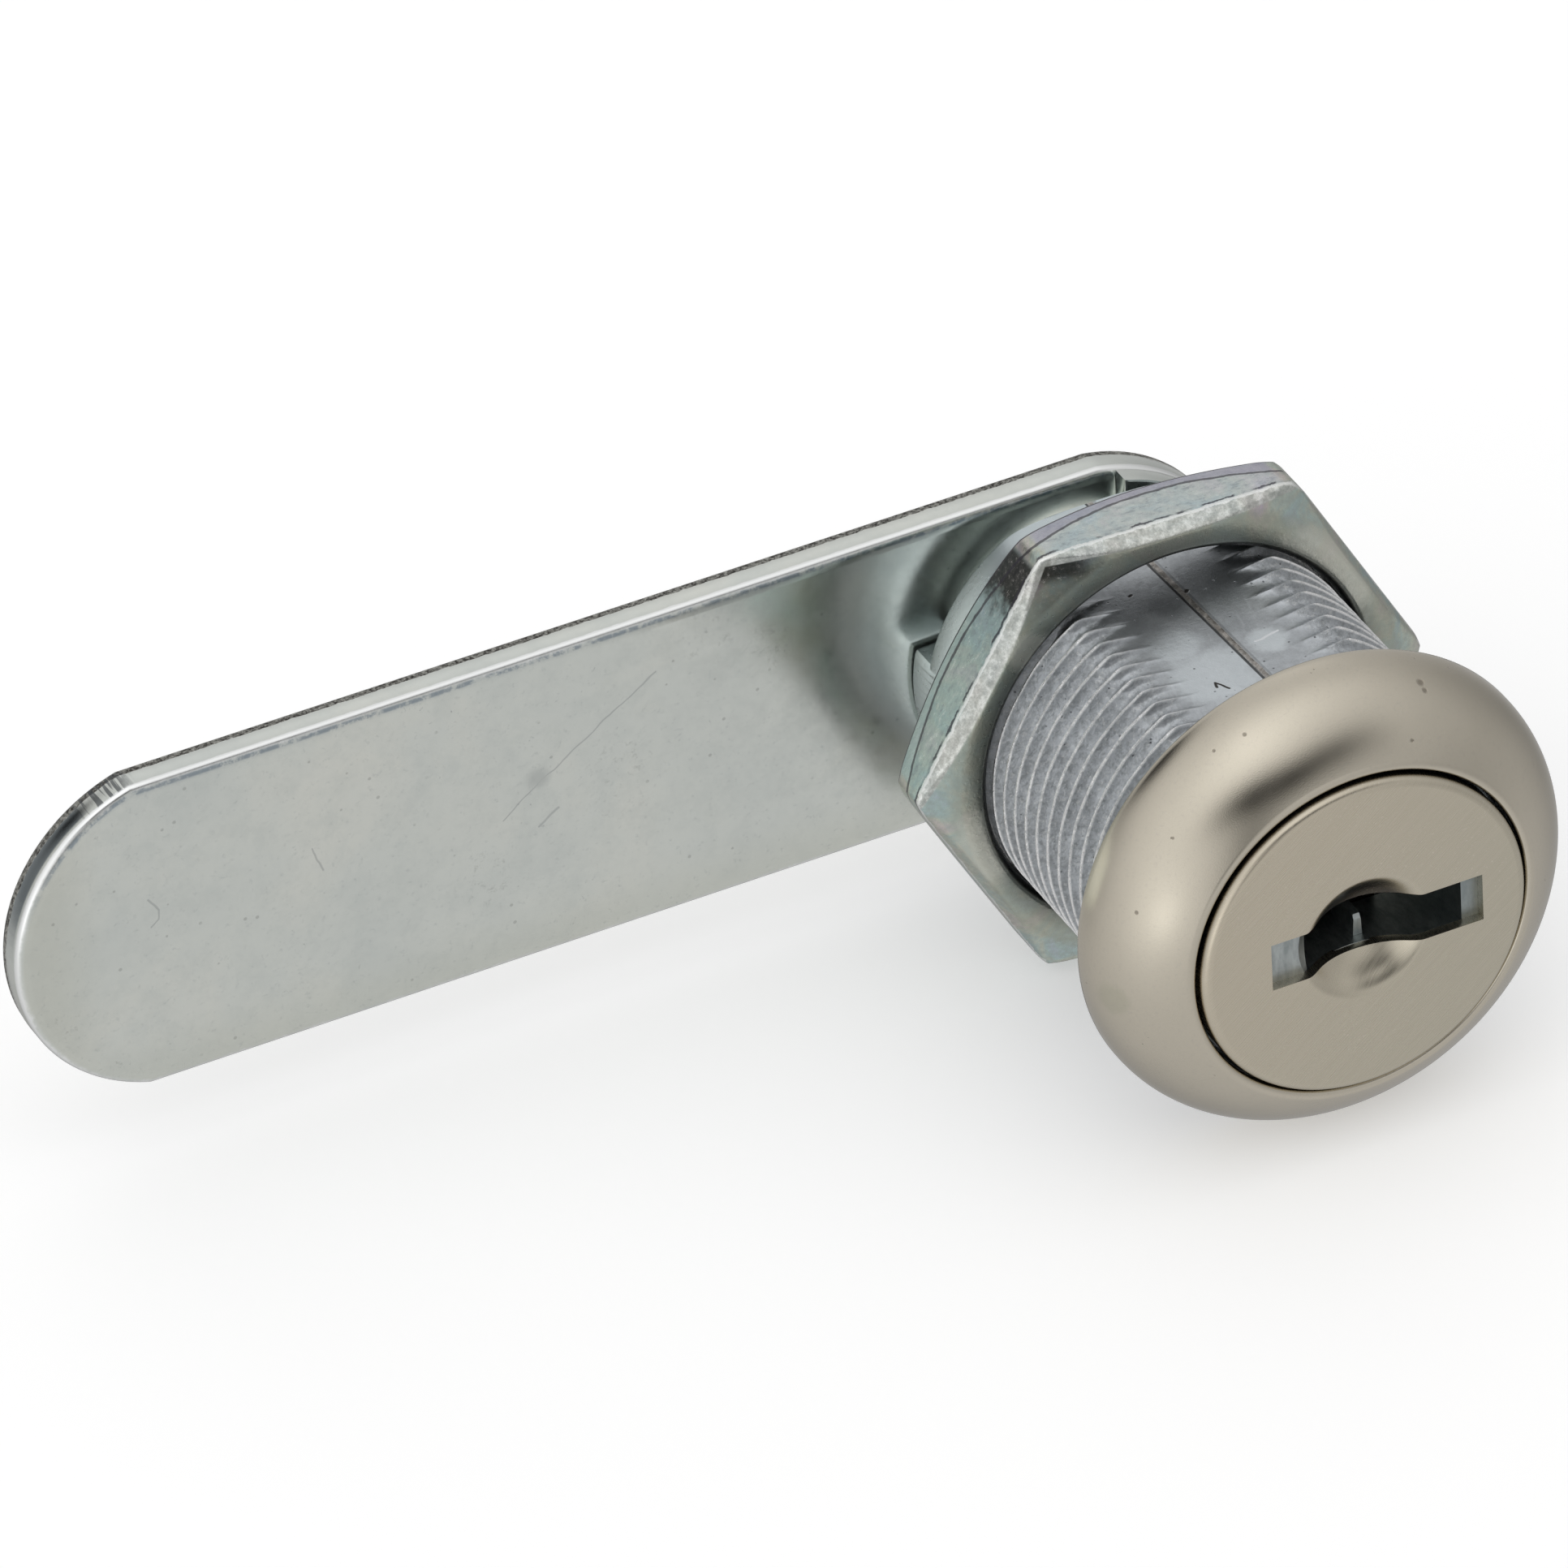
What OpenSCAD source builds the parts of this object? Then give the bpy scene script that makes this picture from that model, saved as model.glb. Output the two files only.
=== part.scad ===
// Cam lock: a threaded double-D body with a domed head, a disc tumbler plug and a flat cam.
// The lock's axis is Y. Its front faces -Y, and the body's two flats are level, across Z.
// The origin is on the axis, in the plane where the head seats against a panel.

/* [Body] */
// Diameter over the thread's crests
thread_d = 18.6; // [18.4:0.1:19]
// Depth of the thread
thread_depth = 0.6; // [0.4:0.05:0.7]
// Pitch of the thread
pitch = 1.03; // [0.8:0.01:1.25]
// Distance across the body's two flats, at their edges
across_flats = 16; // [15.6:0.1:16.4]
// Depth that each flat is hollowed between the thread's ends
flat_dip = 0.3; // [0:0.05:0.4]
// Length of the body behind the head
body_len = 20; // [20:0.5:24]
// Length of the smooth neck at the rear of the body
neck_len = 2.6; // [1.5:0.1:4]
// Radius of the neck
neck_r = 8.5; // [8.2:0.05:8.6]
// Bore that the plug turns in
bore_r = 6.3; // [6.2:0.05:6.4]

/* [Head] */
// Widest diameter of the domed head
head_d = 23.1; // [22.5:0.1:24]
// Distance from the seat to the widest line of the dome
dome_base = 0.62; // [0.4:0.02:1]
// Half width of the dome's elliptical section, measured outwards
dome_a = 10.36; // [10:0.02:10.8]
// Height that the dome's full ellipse would reach
dome_b = 6.12; // [6:0.02:6.3]
// Radius of the head's opening around the plug
opening_r = 8.18; // [8.1:0.02:8.3]
// Thickness of the metal skin that covers the head
skin_t = 0.5; // [0.4:0.05:0.6]
// Depth of the relief in the seat around the thread
seat_relief = 0.2; // [0.1:0.05:0.3]

/* [Plug] */
// Distance from the seat to the plug's front face
face_front = 5.35; // [5.2:0.05:5.5]
// Radius of the face cap
cap_r = 7.92; // [7.8:0.02:7.95]
// Length of the key slot in the face cap
slot_l = 10.4; // [9:0.1:11]
// Height of the key slot
slot_h = 2.4; // [2:0.1:2.6]
// How far the key slot is to the right of the axis
slot_shift = 0.57; // [0:0.01:0.8]
// Radius of the pressed dimple around the slot's middle
dimple_r = 2.8; // [2.5:0.05:3]
// Depth of the dimple
dimple_depth = 1.15; // [0.9:0.05:1.2]
// Side of the square tail that drives the cam
tail = 7; // [6.6:0.1:7.2]
// How far the stop washer's seat stands behind the body
washer_gap = 0.6; // [0.5:0.05:0.8]

/* [Tumblers] */
// Depth of the key cut that each disc tumbler needs, front to back
cuts = [2, 4, 1, 3, 0, 2];
// Distance from one tumbler to the next
wafer_step = 2.6; // [2.5:0.05:2.65]
// Thickness of a tumbler
wafer_t = 1.1; // [0.9:0.05:1.1]
// Width of a tumbler
wafer_w = 7; // [6.8:0.1:7]
// Difference between two neighbouring key cut depths
cut_step = 0.35; // [0.3:0.01:0.38]

/* [Cam and nut] */
// Distance from the axis to the cam's tip
cam_reach = 52.2; // [30:0.1:60]
// Width of the cam
cam_w = 16; // [15.6:0.1:16]
// Thickness of the cam
cam_t = 1.6; // [1.4:0.1:2]
// Length of the tip's arc along the cam
tip_arc = 6; // [4:0.1:7.5]
// Distance across the nut's flats
nut_af = 22; // [21.8:0.1:23]
// Thickness of the nut
nut_t = 3.65; // [3:0.05:4]
// Distance from the seat to the nut's front face
nut_at = 12.15; // [4:0.05:15]
// Turn of the nut, from having a corner on each side
nut_turn = -1.3; // [-30:0.1:30]

/* [Hidden] */
$fn = 96;
clearance = 0.08;
crest_r = thread_d / 2;
root_r = crest_r - thread_depth;
half_flats = across_flats / 2;
thread_len = body_len - neck_len;
thread_start = 0.27;
turns = floor((thread_len - thread_start) / pitch);
seat_r = crest_r + 0.05;

// The flats are hollowed level between two points, and rise from there to the thread's ends
dip_half = 2.75;
dip_edge = 5.05;

// The dome is a quarter ellipse whose centre line stands off the axis
dome_r0 = head_d / 2 - dome_a;
dome_steps = 14;
skin_gap = 0.02;
skin_back = 0.15;
lip_round = 0.25;

// Depths along the axis, from the seat: negative is in front of it
cap_t = 0.5;
cap_skirt = 1.75;
cap_wall = 0.5;
face_back = -face_front + cap_t;
collar_front = -face_front + cap_skirt + 0.05;
collar_back = -2.4;
collar_r = opening_r - 2 * clearance;
barrel_r = bore_r - clearance;
stop_from = body_len;
washer_at = body_len + washer_gap;
washer_t = 1;
cam_at = washer_at + washer_t;
cam_back = cam_at + cam_t;
stop_to = cam_at - 0.2;
tail_end = cam_back - 0.2;

// The key opening in the plug is narrower than the slot in the cap, and off centre
key_left = -2.6;
key_right = 4.95;
key_half = 1.35;
key_end = 15.4;

// The two stop faces stand this far past the axis, so that the turn is a quarter
stop_offset = 2;
stop_play = 0.03;
stop_inner = 6.6;
hub_r = 6.4;
lug_r = 8.1;

// The cam's round end is a little larger than its width, so it meets the sides at a corner
cam_end_r = 8.1;

wafer_n = len(cuts);
wafer_first = -0.6;
wafer_r = barrel_r - 0.02;
wafer_lift = 0.6;
slot_play = 0.05;
window_left = -3;
window_right = 1.9;
window_half = 1.5;
groove_half = wafer_w / 2 + 0.2;
groove_r = wafer_r + wafer_lift + 0.3;
groove_from = -1.6;
groove_to = key_end + 0.2;

// Each tumbler has an ear beside the key opening, and a spring pushes on the ear
ear_left = -2.2;
ear_l = 1;
ear_top = 4.95;
spring_h = 4.35;
spring_from = ear_left + ear_l + 0.03;
spring_to = 2.35;
coil_r = 0.5;
wire_r = 0.11;
coil_turns = 5;
coil_sides = 6;
coil_steps = 50;
pocket_r = 0.7;

screw_r = 2.45;
screw_hole_r = 2.5;
screw_end = 16.2;
hole_r = 2.65;
flat_washer_r = 6;
flat_washer_t = 1;
split_r = 4.6;
split_t = 1.2;
split_gap = 0.5;
split_at = cam_back + flat_washer_t;
screw_head_at = split_at + split_t;
screw_head_r = 4.75;
screw_head_h = 3;
crown_flat_r = 2.2;
crown_from = 1.2;
recess_l = 5.2;
recess_w = 0.9;
recess_deep = 1.8;

corner_r = nut_af / 2 / cos(30);
nut_bore_r = crest_r + 0.1;
nut_sink_r = 9.75;
nut_sink = 0.3;
bevel_w = 0.45;
bevel_h = 0.85;
nut_back_sink = 0.4;

// Radii where the cones on the nut's two ends start, and how much they widen per millimetre
nut_face_r = 10.6;
nut_back_r = 10.9;
face_slope = 2.5;
back_slope = 1.8;

PLAIN = ["housing", "head_trim", "plug", "face_cap", "stop_washer", "cam"];
FASTENERS = ["cam_washer", "spring_washer", "cam_screw", "hex_nut"];
WAFERS = [for (i = [1:wafer_n]) str("wafer_", i)];
SPRINGS = [for (i = [1:wafer_n]) str("wafer_spring_", i)];

// Stands its children on the lock's axis: they are drawn as seen from the front, and their Z runs back
module along_axis(depth = 0) {
    translate([0, depth, 0])
        mirror([0, 1, 0])
            rotate([90, 0, 0])
                children();
}

// Points of the dome's section, from the widest line in to radius r, at a depth below its surface
function dome_arc(r, below) =
    let (a = dome_a - below, b = dome_b - below, last = acos((r - dome_r0) / a))
    [for (i = [0:dome_steps])
        let (t = last * i / dome_steps)
        [dome_r0 + a * cos(t), -dome_base - b * sin(t)]];

function last_of(list) = list[len(list) - 1];

function wafer_z(i) = wafer_first + i * wafer_step;

// ---- body ----

module head_core() {
    arc = dome_arc(opening_r, skin_t + skin_gap);
    seat = [[0, -seat_relief], [seat_r, -seat_relief], [seat_r, 0], [arc[0].x, 0]];
    rotate_extrude()
        polygon(concat(seat, arc, [[0, last_of(arc).y]]));
}

// One ridge of the thread: up from the root, along the crest and back down
function ridge(z) = [
    [root_r, z],
    [crest_r, z + 0.36 * pitch],
    [crest_r, z + 0.5 * pitch],
    [root_r, z + 0.86 * pitch]
];

// The section that the flats leave, shallowly hollowed between the ends of the thread
module double_d() {
    dip = half_flats - flat_dip;
    top = [
        [-head_d, half_flats],
        [-dip_edge, half_flats],
        [-dip_half, dip],
        [dip_half, dip],
        [dip_edge, half_flats],
        [head_d, half_flats]
    ];
    polygon(concat(top, [for (i = [len(top) - 1:-1:0]) [top[i].x, -top[i].y]]));
}

module threaded_body() {
    ridges = [for (i = [0:turns - 1]) each ridge(thread_start + i * pitch)];
    neck = [[root_r, thread_len], [neck_r, thread_len + 0.25], [neck_r, body_len], [0, body_len]];
    intersection() {
        rotate_extrude()
            polygon(concat([[0, -1], [root_r, -1]], ridges, neck));
        translate([0, 0, -2])
            linear_extrude(body_len + 4)
                double_d();
    }
}

// Half a ring behind the body, which the stop washer's lug turns against
module stop_wall() {
    translate([0, 0, stop_from - 0.5])
        linear_extrude(stop_to - stop_from + 0.5)
            intersection() {
                difference() {
                    circle(neck_r);
                    circle(stop_inner);
                }
                union() {
                    translate([-head_d, -half_flats])
                        square([head_d, half_flats + stop_offset]);
                    translate([0, -half_flats])
                        square([head_d, half_flats - stop_offset]);
                }
            }
}

module plug_bore() {
    translate([0, 0, -head_d])
        cylinder(r = opening_r - clearance, h = head_d + collar_back);
    translate([0, 0, -head_d])
        cylinder(r = bore_r, h = 2 * head_d);
    translate([0, 0, body_len])
        cylinder(r = stop_inner, h = head_d);
}

// Four grooves, so that the tumblers lock at each end of the quarter turn
module tumbler_grooves() {
    for (turn = [0:90:270])
        rotate(turn)
            translate([0, -groove_half, groove_from])
                cube([groove_r, 2 * groove_half, groove_to - groove_from]);
}

module housing() {
    color("lightslategray")
        along_axis()
            difference() {
                union() {
                    head_core();
                    threaded_body();
                    stop_wall();
                }
                plug_bore();
                tumbler_grooves();
            }
}

// The satin skin over the head: it follows the dome and ends in a rounded lip around the plug
module head_trim() {
    outer = dome_arc(opening_r + lip_round, 0);
    inner = dome_arc(opening_r, skin_t);
    lip = [[opening_r, last_of(outer).y + lip_round], last_of(inner)];
    rim = [[inner[0].x, -skin_back], [outer[0].x, -skin_back]];
    back = [for (i = [dome_steps:-1:0]) inner[i]];
    color("tan")
        along_axis()
            rotate_extrude()
                polygon(concat(rim, outer, lip, back));
}

// ---- plug ----

dimple_ball = (dimple_r * dimple_r + dimple_depth * dimple_depth) / (2 * dimple_depth);
dimple_z = -face_front - dimple_ball + dimple_depth;

module wafer_slots() {
    for (i = [0:wafer_n - 1])
        translate([0, 0, wafer_z(i)]) {
            slot_t = wafer_t + 2 * slot_play;
            slot_w = wafer_w + 2 * slot_play;
            cube([4 * bore_r, slot_w, slot_t], center = true);
            ear_room = ear_l + wafer_lift + 0.15;
            translate([ear_left - wafer_lift - 0.1, 0, -slot_t / 2])
                cube([ear_room, ear_top + slot_play, slot_t]);
            translate([ear_left, spring_h, 0])
                rotate([0, 90, 0])
                    cylinder(r = pocket_r, h = spring_to + slot_play - ear_left, $fn = 32);
        }
}

module plug() {
    color("silver")
        along_axis()
            difference() {
                union() {
                    translate([0, 0, face_back])
                        cylinder(r = cap_r - cap_wall - 0.02, h = collar_back - face_back - clearance);
                    translate([0, 0, collar_front])
                        cylinder(r = collar_r, h = collar_back - collar_front - 0.02);
                    translate([0, 0, collar_back - 0.5])
                        cylinder(r = barrel_r, h = washer_at - collar_back + 0.5);
                    intersection() {
                        translate([-tail / 2, -tail / 2, washer_at - 0.5])
                            cube([tail, tail, tail_end - washer_at + 0.5]);
                        cylinder(r = tail * 0.66, h = 2 * body_len);
                    }
                }
                translate([0, 0, dimple_z])
                    sphere(r = dimple_ball + cap_t + 0.05);
                translate([key_left, -key_half, -face_front])
                    cube([key_right - key_left, 2 * key_half, key_end + face_front]);
                wafer_slots();
                translate([0, 0, screw_end - 0.8])
                    cylinder(r = screw_hole_r, h = body_len);
            }
}

// A drawn cup over the plug's front, with the key slot and a dimple that guides the key
module face_cap() {
    color("wheat")
        along_axis()
            difference() {
                translate([0, 0, -face_front])
                    cylinder(r = cap_r, h = cap_skirt);
                translate([0, 0, face_back])
                    difference() {
                        cylinder(r = cap_r - cap_wall, h = cap_skirt);
                        translate([0, 0, dimple_z - face_back])
                            sphere(r = dimple_ball + cap_t);
                    }
                translate([0, 0, dimple_z])
                    sphere(r = dimple_ball);
                translate([slot_shift - slot_l / 2, -slot_h / 2, -2 * face_front])
                    cube([slot_l, slot_h, 4 * face_front]);
            }
}

// ---- tumblers ----

module wafer(i) {
    color("goldenrod")
        along_axis(wafer_z(i) - wafer_t / 2)
            linear_extrude(wafer_t)
                difference() {
                    union() {
                        intersection() {
                            circle(wafer_r);
                            square([3 * wafer_r, wafer_w], center = true);
                        }
                        translate([ear_left, 0])
                            square([ear_l, ear_top]);
                    }
                    edge = window_right + cuts[i] * cut_step;
                    translate([window_left, -window_half])
                        square([edge - window_left, 2 * window_half]);
                }
}

// A point on the spring's wire: s runs along the coil, b goes round the wire
function coil_point(s, b) =
    let (turn = 360 * coil_turns * s, reach = coil_r + wire_r * cos(b))
    let (run = spring_to - spring_from - 2 * wire_r)
    [spring_from + wire_r + run * s + wire_r * sin(b), reach * cos(turn), reach * sin(turn)];

module coil_spring() {
    last = coil_steps * coil_sides;
    rings = [for (j = [0:coil_steps], k = [0:coil_sides - 1])
        coil_point(j / coil_steps, 360 * k / coil_sides)];
    sides = [for (j = [0:coil_steps - 1], k = [0:coil_sides - 1])
        let (next = (k + 1) % coil_sides, here = j * coil_sides, there = here + coil_sides)
        [here + k, there + k, there + next, here + next]];
    near_end = [for (k = [0:coil_sides - 1]) k];
    far_end = [for (k = [coil_sides - 1:-1:0]) last + k];
    polyhedron(points = rings, faces = concat(sides, [near_end, far_end]));
}

module wafer_spring(i) {
    color("dimgray")
        along_axis(wafer_z(i))
            translate([0, spring_h, 0])
                coil_spring();
}

// ---- behind the body ----

// The lug fills the quarter above and to the right, and stops on the body's half ring
module stop_washer() {
    edge = stop_offset + stop_play;
    color("lightgray")
        along_axis(washer_at)
            linear_extrude(washer_t)
                difference() {
                    union() {
                        circle(hub_r);
                        intersection() {
                            circle(lug_r);
                            translate([edge, stop_play - stop_offset])
                                square(lug_r);
                        }
                    }
                    square(tail + 0.1, center = true);
                }
}

// The tip is an arc a little flatter than a half circle, so it meets the sides at a corner
module cam() {
    half_w = cam_w / 2;
    tip_r = (half_w * half_w + tip_arc * tip_arc) / (2 * tip_arc);
    straight = cam_reach - tip_arc;
    color("lightgray")
        along_axis(cam_at)
            linear_extrude(cam_t)
                difference() {
                    union() {
                        intersection() {
                            circle(cam_end_r);
                            square([3 * cam_end_r, cam_w], center = true);
                        }
                        translate([-straight, -half_w])
                            square([straight, cam_w]);
                        intersection() {
                            translate([tip_r - cam_reach, 0])
                                circle(tip_r);
                            translate([-cam_reach - 1, -half_w])
                                square([tip_arc + 1.5, cam_w]);
                        }
                    }
                    square(tail + 0.1, center = true);
                }
}

module cam_washer() {
    color("silver")
        along_axis(cam_back)
            linear_extrude(flat_washer_t)
                difference() {
                    circle(flat_washer_r);
                    circle(hole_r);
                }
}

module spring_washer() {
    color("gray")
        along_axis(split_at)
            linear_extrude(split_t)
                difference() {
                    circle(split_r);
                    circle(hole_r);
                    rotate(35)
                        translate([0, -split_gap / 2])
                            square([2 * split_r, split_gap]);
                }
}

module cam_screw() {
    recess_at = screw_head_at + screw_head_h - recess_deep;
    crown_h = screw_head_h - crown_from;
    crown = [for (t = [0:15:75])
        [crown_flat_r + (screw_head_r - crown_flat_r) * cos(t), crown_from + crown_h * sin(t)]];
    head = concat([[0, 0], [screw_head_r, 0]], crown, [[crown_flat_r, screw_head_h], [0, screw_head_h]]);
    color("silver")
        along_axis()
            difference() {
                union() {
                    translate([0, 0, screw_head_at])
                        rotate_extrude()
                            polygon(head);
                    translate([0, 0, screw_end])
                        cylinder(r1 = screw_r - 0.5, r2 = screw_r, h = 0.5);
                    translate([0, 0, screw_end + 0.5])
                        cylinder(r = screw_r, h = screw_head_at - screw_end);
                }
                for (turn = [0, 90])
                    rotate(turn)
                        translate([-recess_l / 2, -recess_w / 2, recess_at])
                            cube([recess_l, recess_w, screw_head_h]);
            }
}

// ---- nut ----

// Both ends of the nut are turned down to a cone at the corners, and its front is bevelled all round
module nut_blank() {
    intersection() {
        union() {
            cylinder(r1 = corner_r - bevel_w / cos(30), r2 = corner_r, h = bevel_h, $fn = 6);
            translate([0, 0, bevel_h])
                cylinder(r = corner_r, h = nut_t - bevel_h, $fn = 6);
        }
        cylinder(r1 = nut_face_r, r2 = nut_face_r + face_slope * nut_t, h = nut_t);
        cylinder(r1 = nut_back_r + back_slope * nut_t, r2 = nut_back_r, h = nut_t);
    }
}

module hex_nut() {
    color("lightgray")
        along_axis(nut_at)
            difference() {
                rotate(nut_turn)
                    nut_blank();
                translate([0, 0, -1])
                    cylinder(r = nut_bore_r, h = nut_t + 2);
                translate([0, 0, -0.01])
                    cylinder(r1 = nut_sink_r, r2 = nut_bore_r, h = nut_sink);
                translate([0, 0, nut_t - nut_back_sink])
                    cylinder(r1 = nut_bore_r, r2 = nut_bore_r + nut_back_sink, h = nut_back_sink + 0.01);
            }
}

housing();
head_trim();
plug();
face_cap();
for (i = [0:wafer_n - 1]) {
    wafer(i);
    wafer_spring(i);
}
stop_washer();
cam();
cam_washer();
spring_washer();
cam_screw();
hex_nut();
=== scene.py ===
"""Looks of the cam lock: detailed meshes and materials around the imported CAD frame.

The frame is in metres. The lock's axis is Y, its key side faces -Y, and the cam points along -X.
Sizes below are in millimetres, as in the part's source, and mm() turns a point into metres.
"""

import math

import bmesh
import bpy
from mathutils import Matrix, Vector, noise


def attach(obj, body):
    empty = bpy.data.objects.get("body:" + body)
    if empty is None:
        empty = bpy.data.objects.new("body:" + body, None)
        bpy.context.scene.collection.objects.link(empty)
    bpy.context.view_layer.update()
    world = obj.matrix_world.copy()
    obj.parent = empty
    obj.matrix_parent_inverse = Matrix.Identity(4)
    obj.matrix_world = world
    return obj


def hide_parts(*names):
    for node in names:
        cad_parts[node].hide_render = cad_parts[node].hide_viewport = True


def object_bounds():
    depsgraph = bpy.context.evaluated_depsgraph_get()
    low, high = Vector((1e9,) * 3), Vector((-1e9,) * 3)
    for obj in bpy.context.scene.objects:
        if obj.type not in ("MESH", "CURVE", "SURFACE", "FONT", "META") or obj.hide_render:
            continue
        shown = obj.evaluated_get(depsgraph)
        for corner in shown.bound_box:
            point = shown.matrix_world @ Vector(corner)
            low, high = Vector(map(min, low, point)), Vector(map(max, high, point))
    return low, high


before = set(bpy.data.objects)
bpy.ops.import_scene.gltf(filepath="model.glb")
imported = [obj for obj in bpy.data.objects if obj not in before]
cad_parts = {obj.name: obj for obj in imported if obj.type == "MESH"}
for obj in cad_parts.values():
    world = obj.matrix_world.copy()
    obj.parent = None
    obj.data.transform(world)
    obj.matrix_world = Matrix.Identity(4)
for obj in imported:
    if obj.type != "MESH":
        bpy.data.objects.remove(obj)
cad_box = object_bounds()

MM = 0.001

# ---- sizes ----

# Body: thread, flats and the ridges on them, seat, neck, stop wall and bore
CREST_R = 9.3
ROOT_R = 8.7
PITCH = 1.03
FIRST_CREST = 0.71
THREAD_END = 17.4
FLAT_Z = 7.7
DIP_HALF = 2.75
DIP_SLOPE = 0.13
PARTING_X = 0.73
PARTING_SLOPE = 0.038
SEAT_R = 9.35
SEAT_RELIEF = 0.2
NECK_R = 8.5
WALL_BORE_R = 6.6
WALL_CORNER = 0.6
BODY_END = 20.0
STOP_END = 21.4
BORE_R = 6.3
GROOVE_R = 7.1
GROOVE_HALF = 3.7
GROOVE_FROM = -1.6
GROOVE_TO = 15.6
OPENING_R = 8.18
LIP_R = 8.13

# Head: an ellipse turned about the axis, over the body's flange
DOME_R0 = 1.19
DOME_A = 10.36
DOME_B = 6.12
DOME_BASE = 0.62
SKIN = 0.5
FLANGE_R = 11.02
FLANGE_BACK = -2.4

# Face cap, its slot and its dimple
FACE_FRONT = 5.35
CAP_R = 7.97
CAP_SKIRT = 1.75
SLOT_LEFT = -4.63
SLOT_RIGHT = 5.77
SLOT_HALF = 1.2
DIMPLE_R = 2.88
DIMPLE_DEPTH = 1.4
SLOT_BULGE = 0.17

# Stop washer, cam, washers and screw
WASHER_AT = 20.6
HUB_R = 6.4
LUG_R = 8.1
LUG_EDGE = 2.03
LUG_LOW = -1.97
CAM_AT = 21.6
CAM_T = 1.6
CAM_HALF = 8.0
CAM_END_R = 8.1
CAM_REACH = 52.2
TIP_ARC = 6.0
TAIL_HALF = 3.53
FLAT_WASHER_R = 6.0
FLAT_WASHER_T = 1.0
SPLIT_R = 4.6
SPLIT_T = 1.2
SPLIT_AT = 35.0
SPLIT_GAP = 7.2
WASHER_BORE_R = 2.65
SCREW_R = 2.45
SCREW_FROM = 16.2
SCREW_HEAD_T = 3.0

# Nut
NUT_AT = 12.15
NUT_T = 3.65
NUT_TURN = -1.3
NUT_INRADIUS = 11.0
NUT_BORE = 9.4
NUT_SINK_R = 9.75
BEVEL_W = 0.45
BEVEL_H = 0.85
NUT_FACE_R = 10.6
NUT_BACK_R = 10.9
NUT_BACK_SLOPE = 0.55


# ---- mesh helpers ----

def mm(x, y, z):
    return (x * MM, y * MM, z * MM)


def add_mesh(name, points, faces, sharp=30):
    """A smooth mesh object from points in metres. Edges that turn by more than sharp degrees stay sharp."""
    mesh = bpy.data.meshes.new(name)
    mesh.from_pydata(points, [], faces)
    obj = bpy.data.objects.new(name, mesh)
    bpy.context.scene.collection.objects.link(obj)
    tidy_mesh(obj, sharp)
    return obj


def tidy_mesh(obj, sharp=30):
    """Welds a mesh, drops loose points, turns its faces outwards and shades it."""
    shape = bmesh.new()
    shape.from_mesh(obj.data)
    bmesh.ops.remove_doubles(shape, verts=shape.verts, dist=2e-7)
    bmesh.ops.dissolve_degenerate(shape, edges=shape.edges, dist=1e-7)
    loose = [v for v in shape.verts if not v.link_faces]
    bmesh.ops.delete(shape, geom=loose, context="VERTS")
    bmesh.ops.recalc_face_normals(shape, faces=shape.faces)
    shape.to_mesh(obj.data)
    shape.free()
    obj.data.shade_smooth()
    obj.data.set_sharp_from_angle(angle=math.radians(sharp))


def loft(rings, wrap=False, capped=False):
    """Points and faces of a skin over rings of equal length. wrap joins the last ring to the first."""
    points = [p for ring in rings for p in ring]
    n = len(rings[0])
    faces = []
    last = len(rings) if wrap else len(rings) - 1
    for j in range(last):
        a = j * n
        b = (j + 1) % len(rings) * n
        for i in range(n):
            k = (i + 1) % n
            faces.append((a + i, a + k, b + k, b + i))
    if capped:
        faces += [tuple(range(n)), tuple(range(len(points) - n, len(points)))]
    return points, faces


def fillet(corners, radii, steps=5):
    """A closed 2-D outline with each corner turned into a curve of its radius."""
    out = []
    n = len(corners)
    for i, corner in enumerate(corners):
        radius = radii[i]
        if radius == 0:
            out.append(tuple(corner))
            continue
        here = Vector(corner)
        back = Vector(corners[i - 1]) - here
        ahead = Vector(corners[(i + 1) % n]) - here
        turn = back.angle(ahead)
        reach = min(radius / math.tan(turn / 2), 0.49 * back.length, 0.49 * ahead.length)
        start = here + back.normalized() * reach
        end = here + ahead.normalized() * reach
        for s in range(steps + 1):
            t = s / steps
            bend = start * (1 - t) ** 2 + here * 2 * t * (1 - t) + end * t ** 2
            out.append((bend.x, bend.y))
    return out


def turned(r, y, angles):
    """Points about the lock's axis at a radius and a depth."""
    r = max(r, 1e-5)
    return [mm(r * math.cos(t), y, r * math.sin(t)) for t in angles]


def revolve(name, profile, steps=144, sharp=30, closed=True):
    """A solid of revolution about the lock's axis from (radius, depth) points."""
    angles = [2 * math.pi * i / steps for i in range(steps)]
    rings = [turned(r, y, angles) for r, y in profile]
    return add_mesh(name, *loft(rings, wrap=closed), sharp)


def inset(outline, distance):
    """A closed anticlockwise outline moved inwards by distance, corner by corner."""
    out = []
    n = len(outline)
    for i, point in enumerate(outline):
        here = Vector(point)
        before = (here - Vector(outline[i - 1])).normalized()
        after = (Vector(outline[(i + 1) % n]) - here).normalized()
        normal = Vector((-before.y, before.x)) + Vector((-after.y, after.x))
        length = max(normal.length / 2, 0.5)
        shift = normal.normalized() * (distance / length)
        out.append((here.x + shift.x, here.y + shift.y))
    return out


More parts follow.
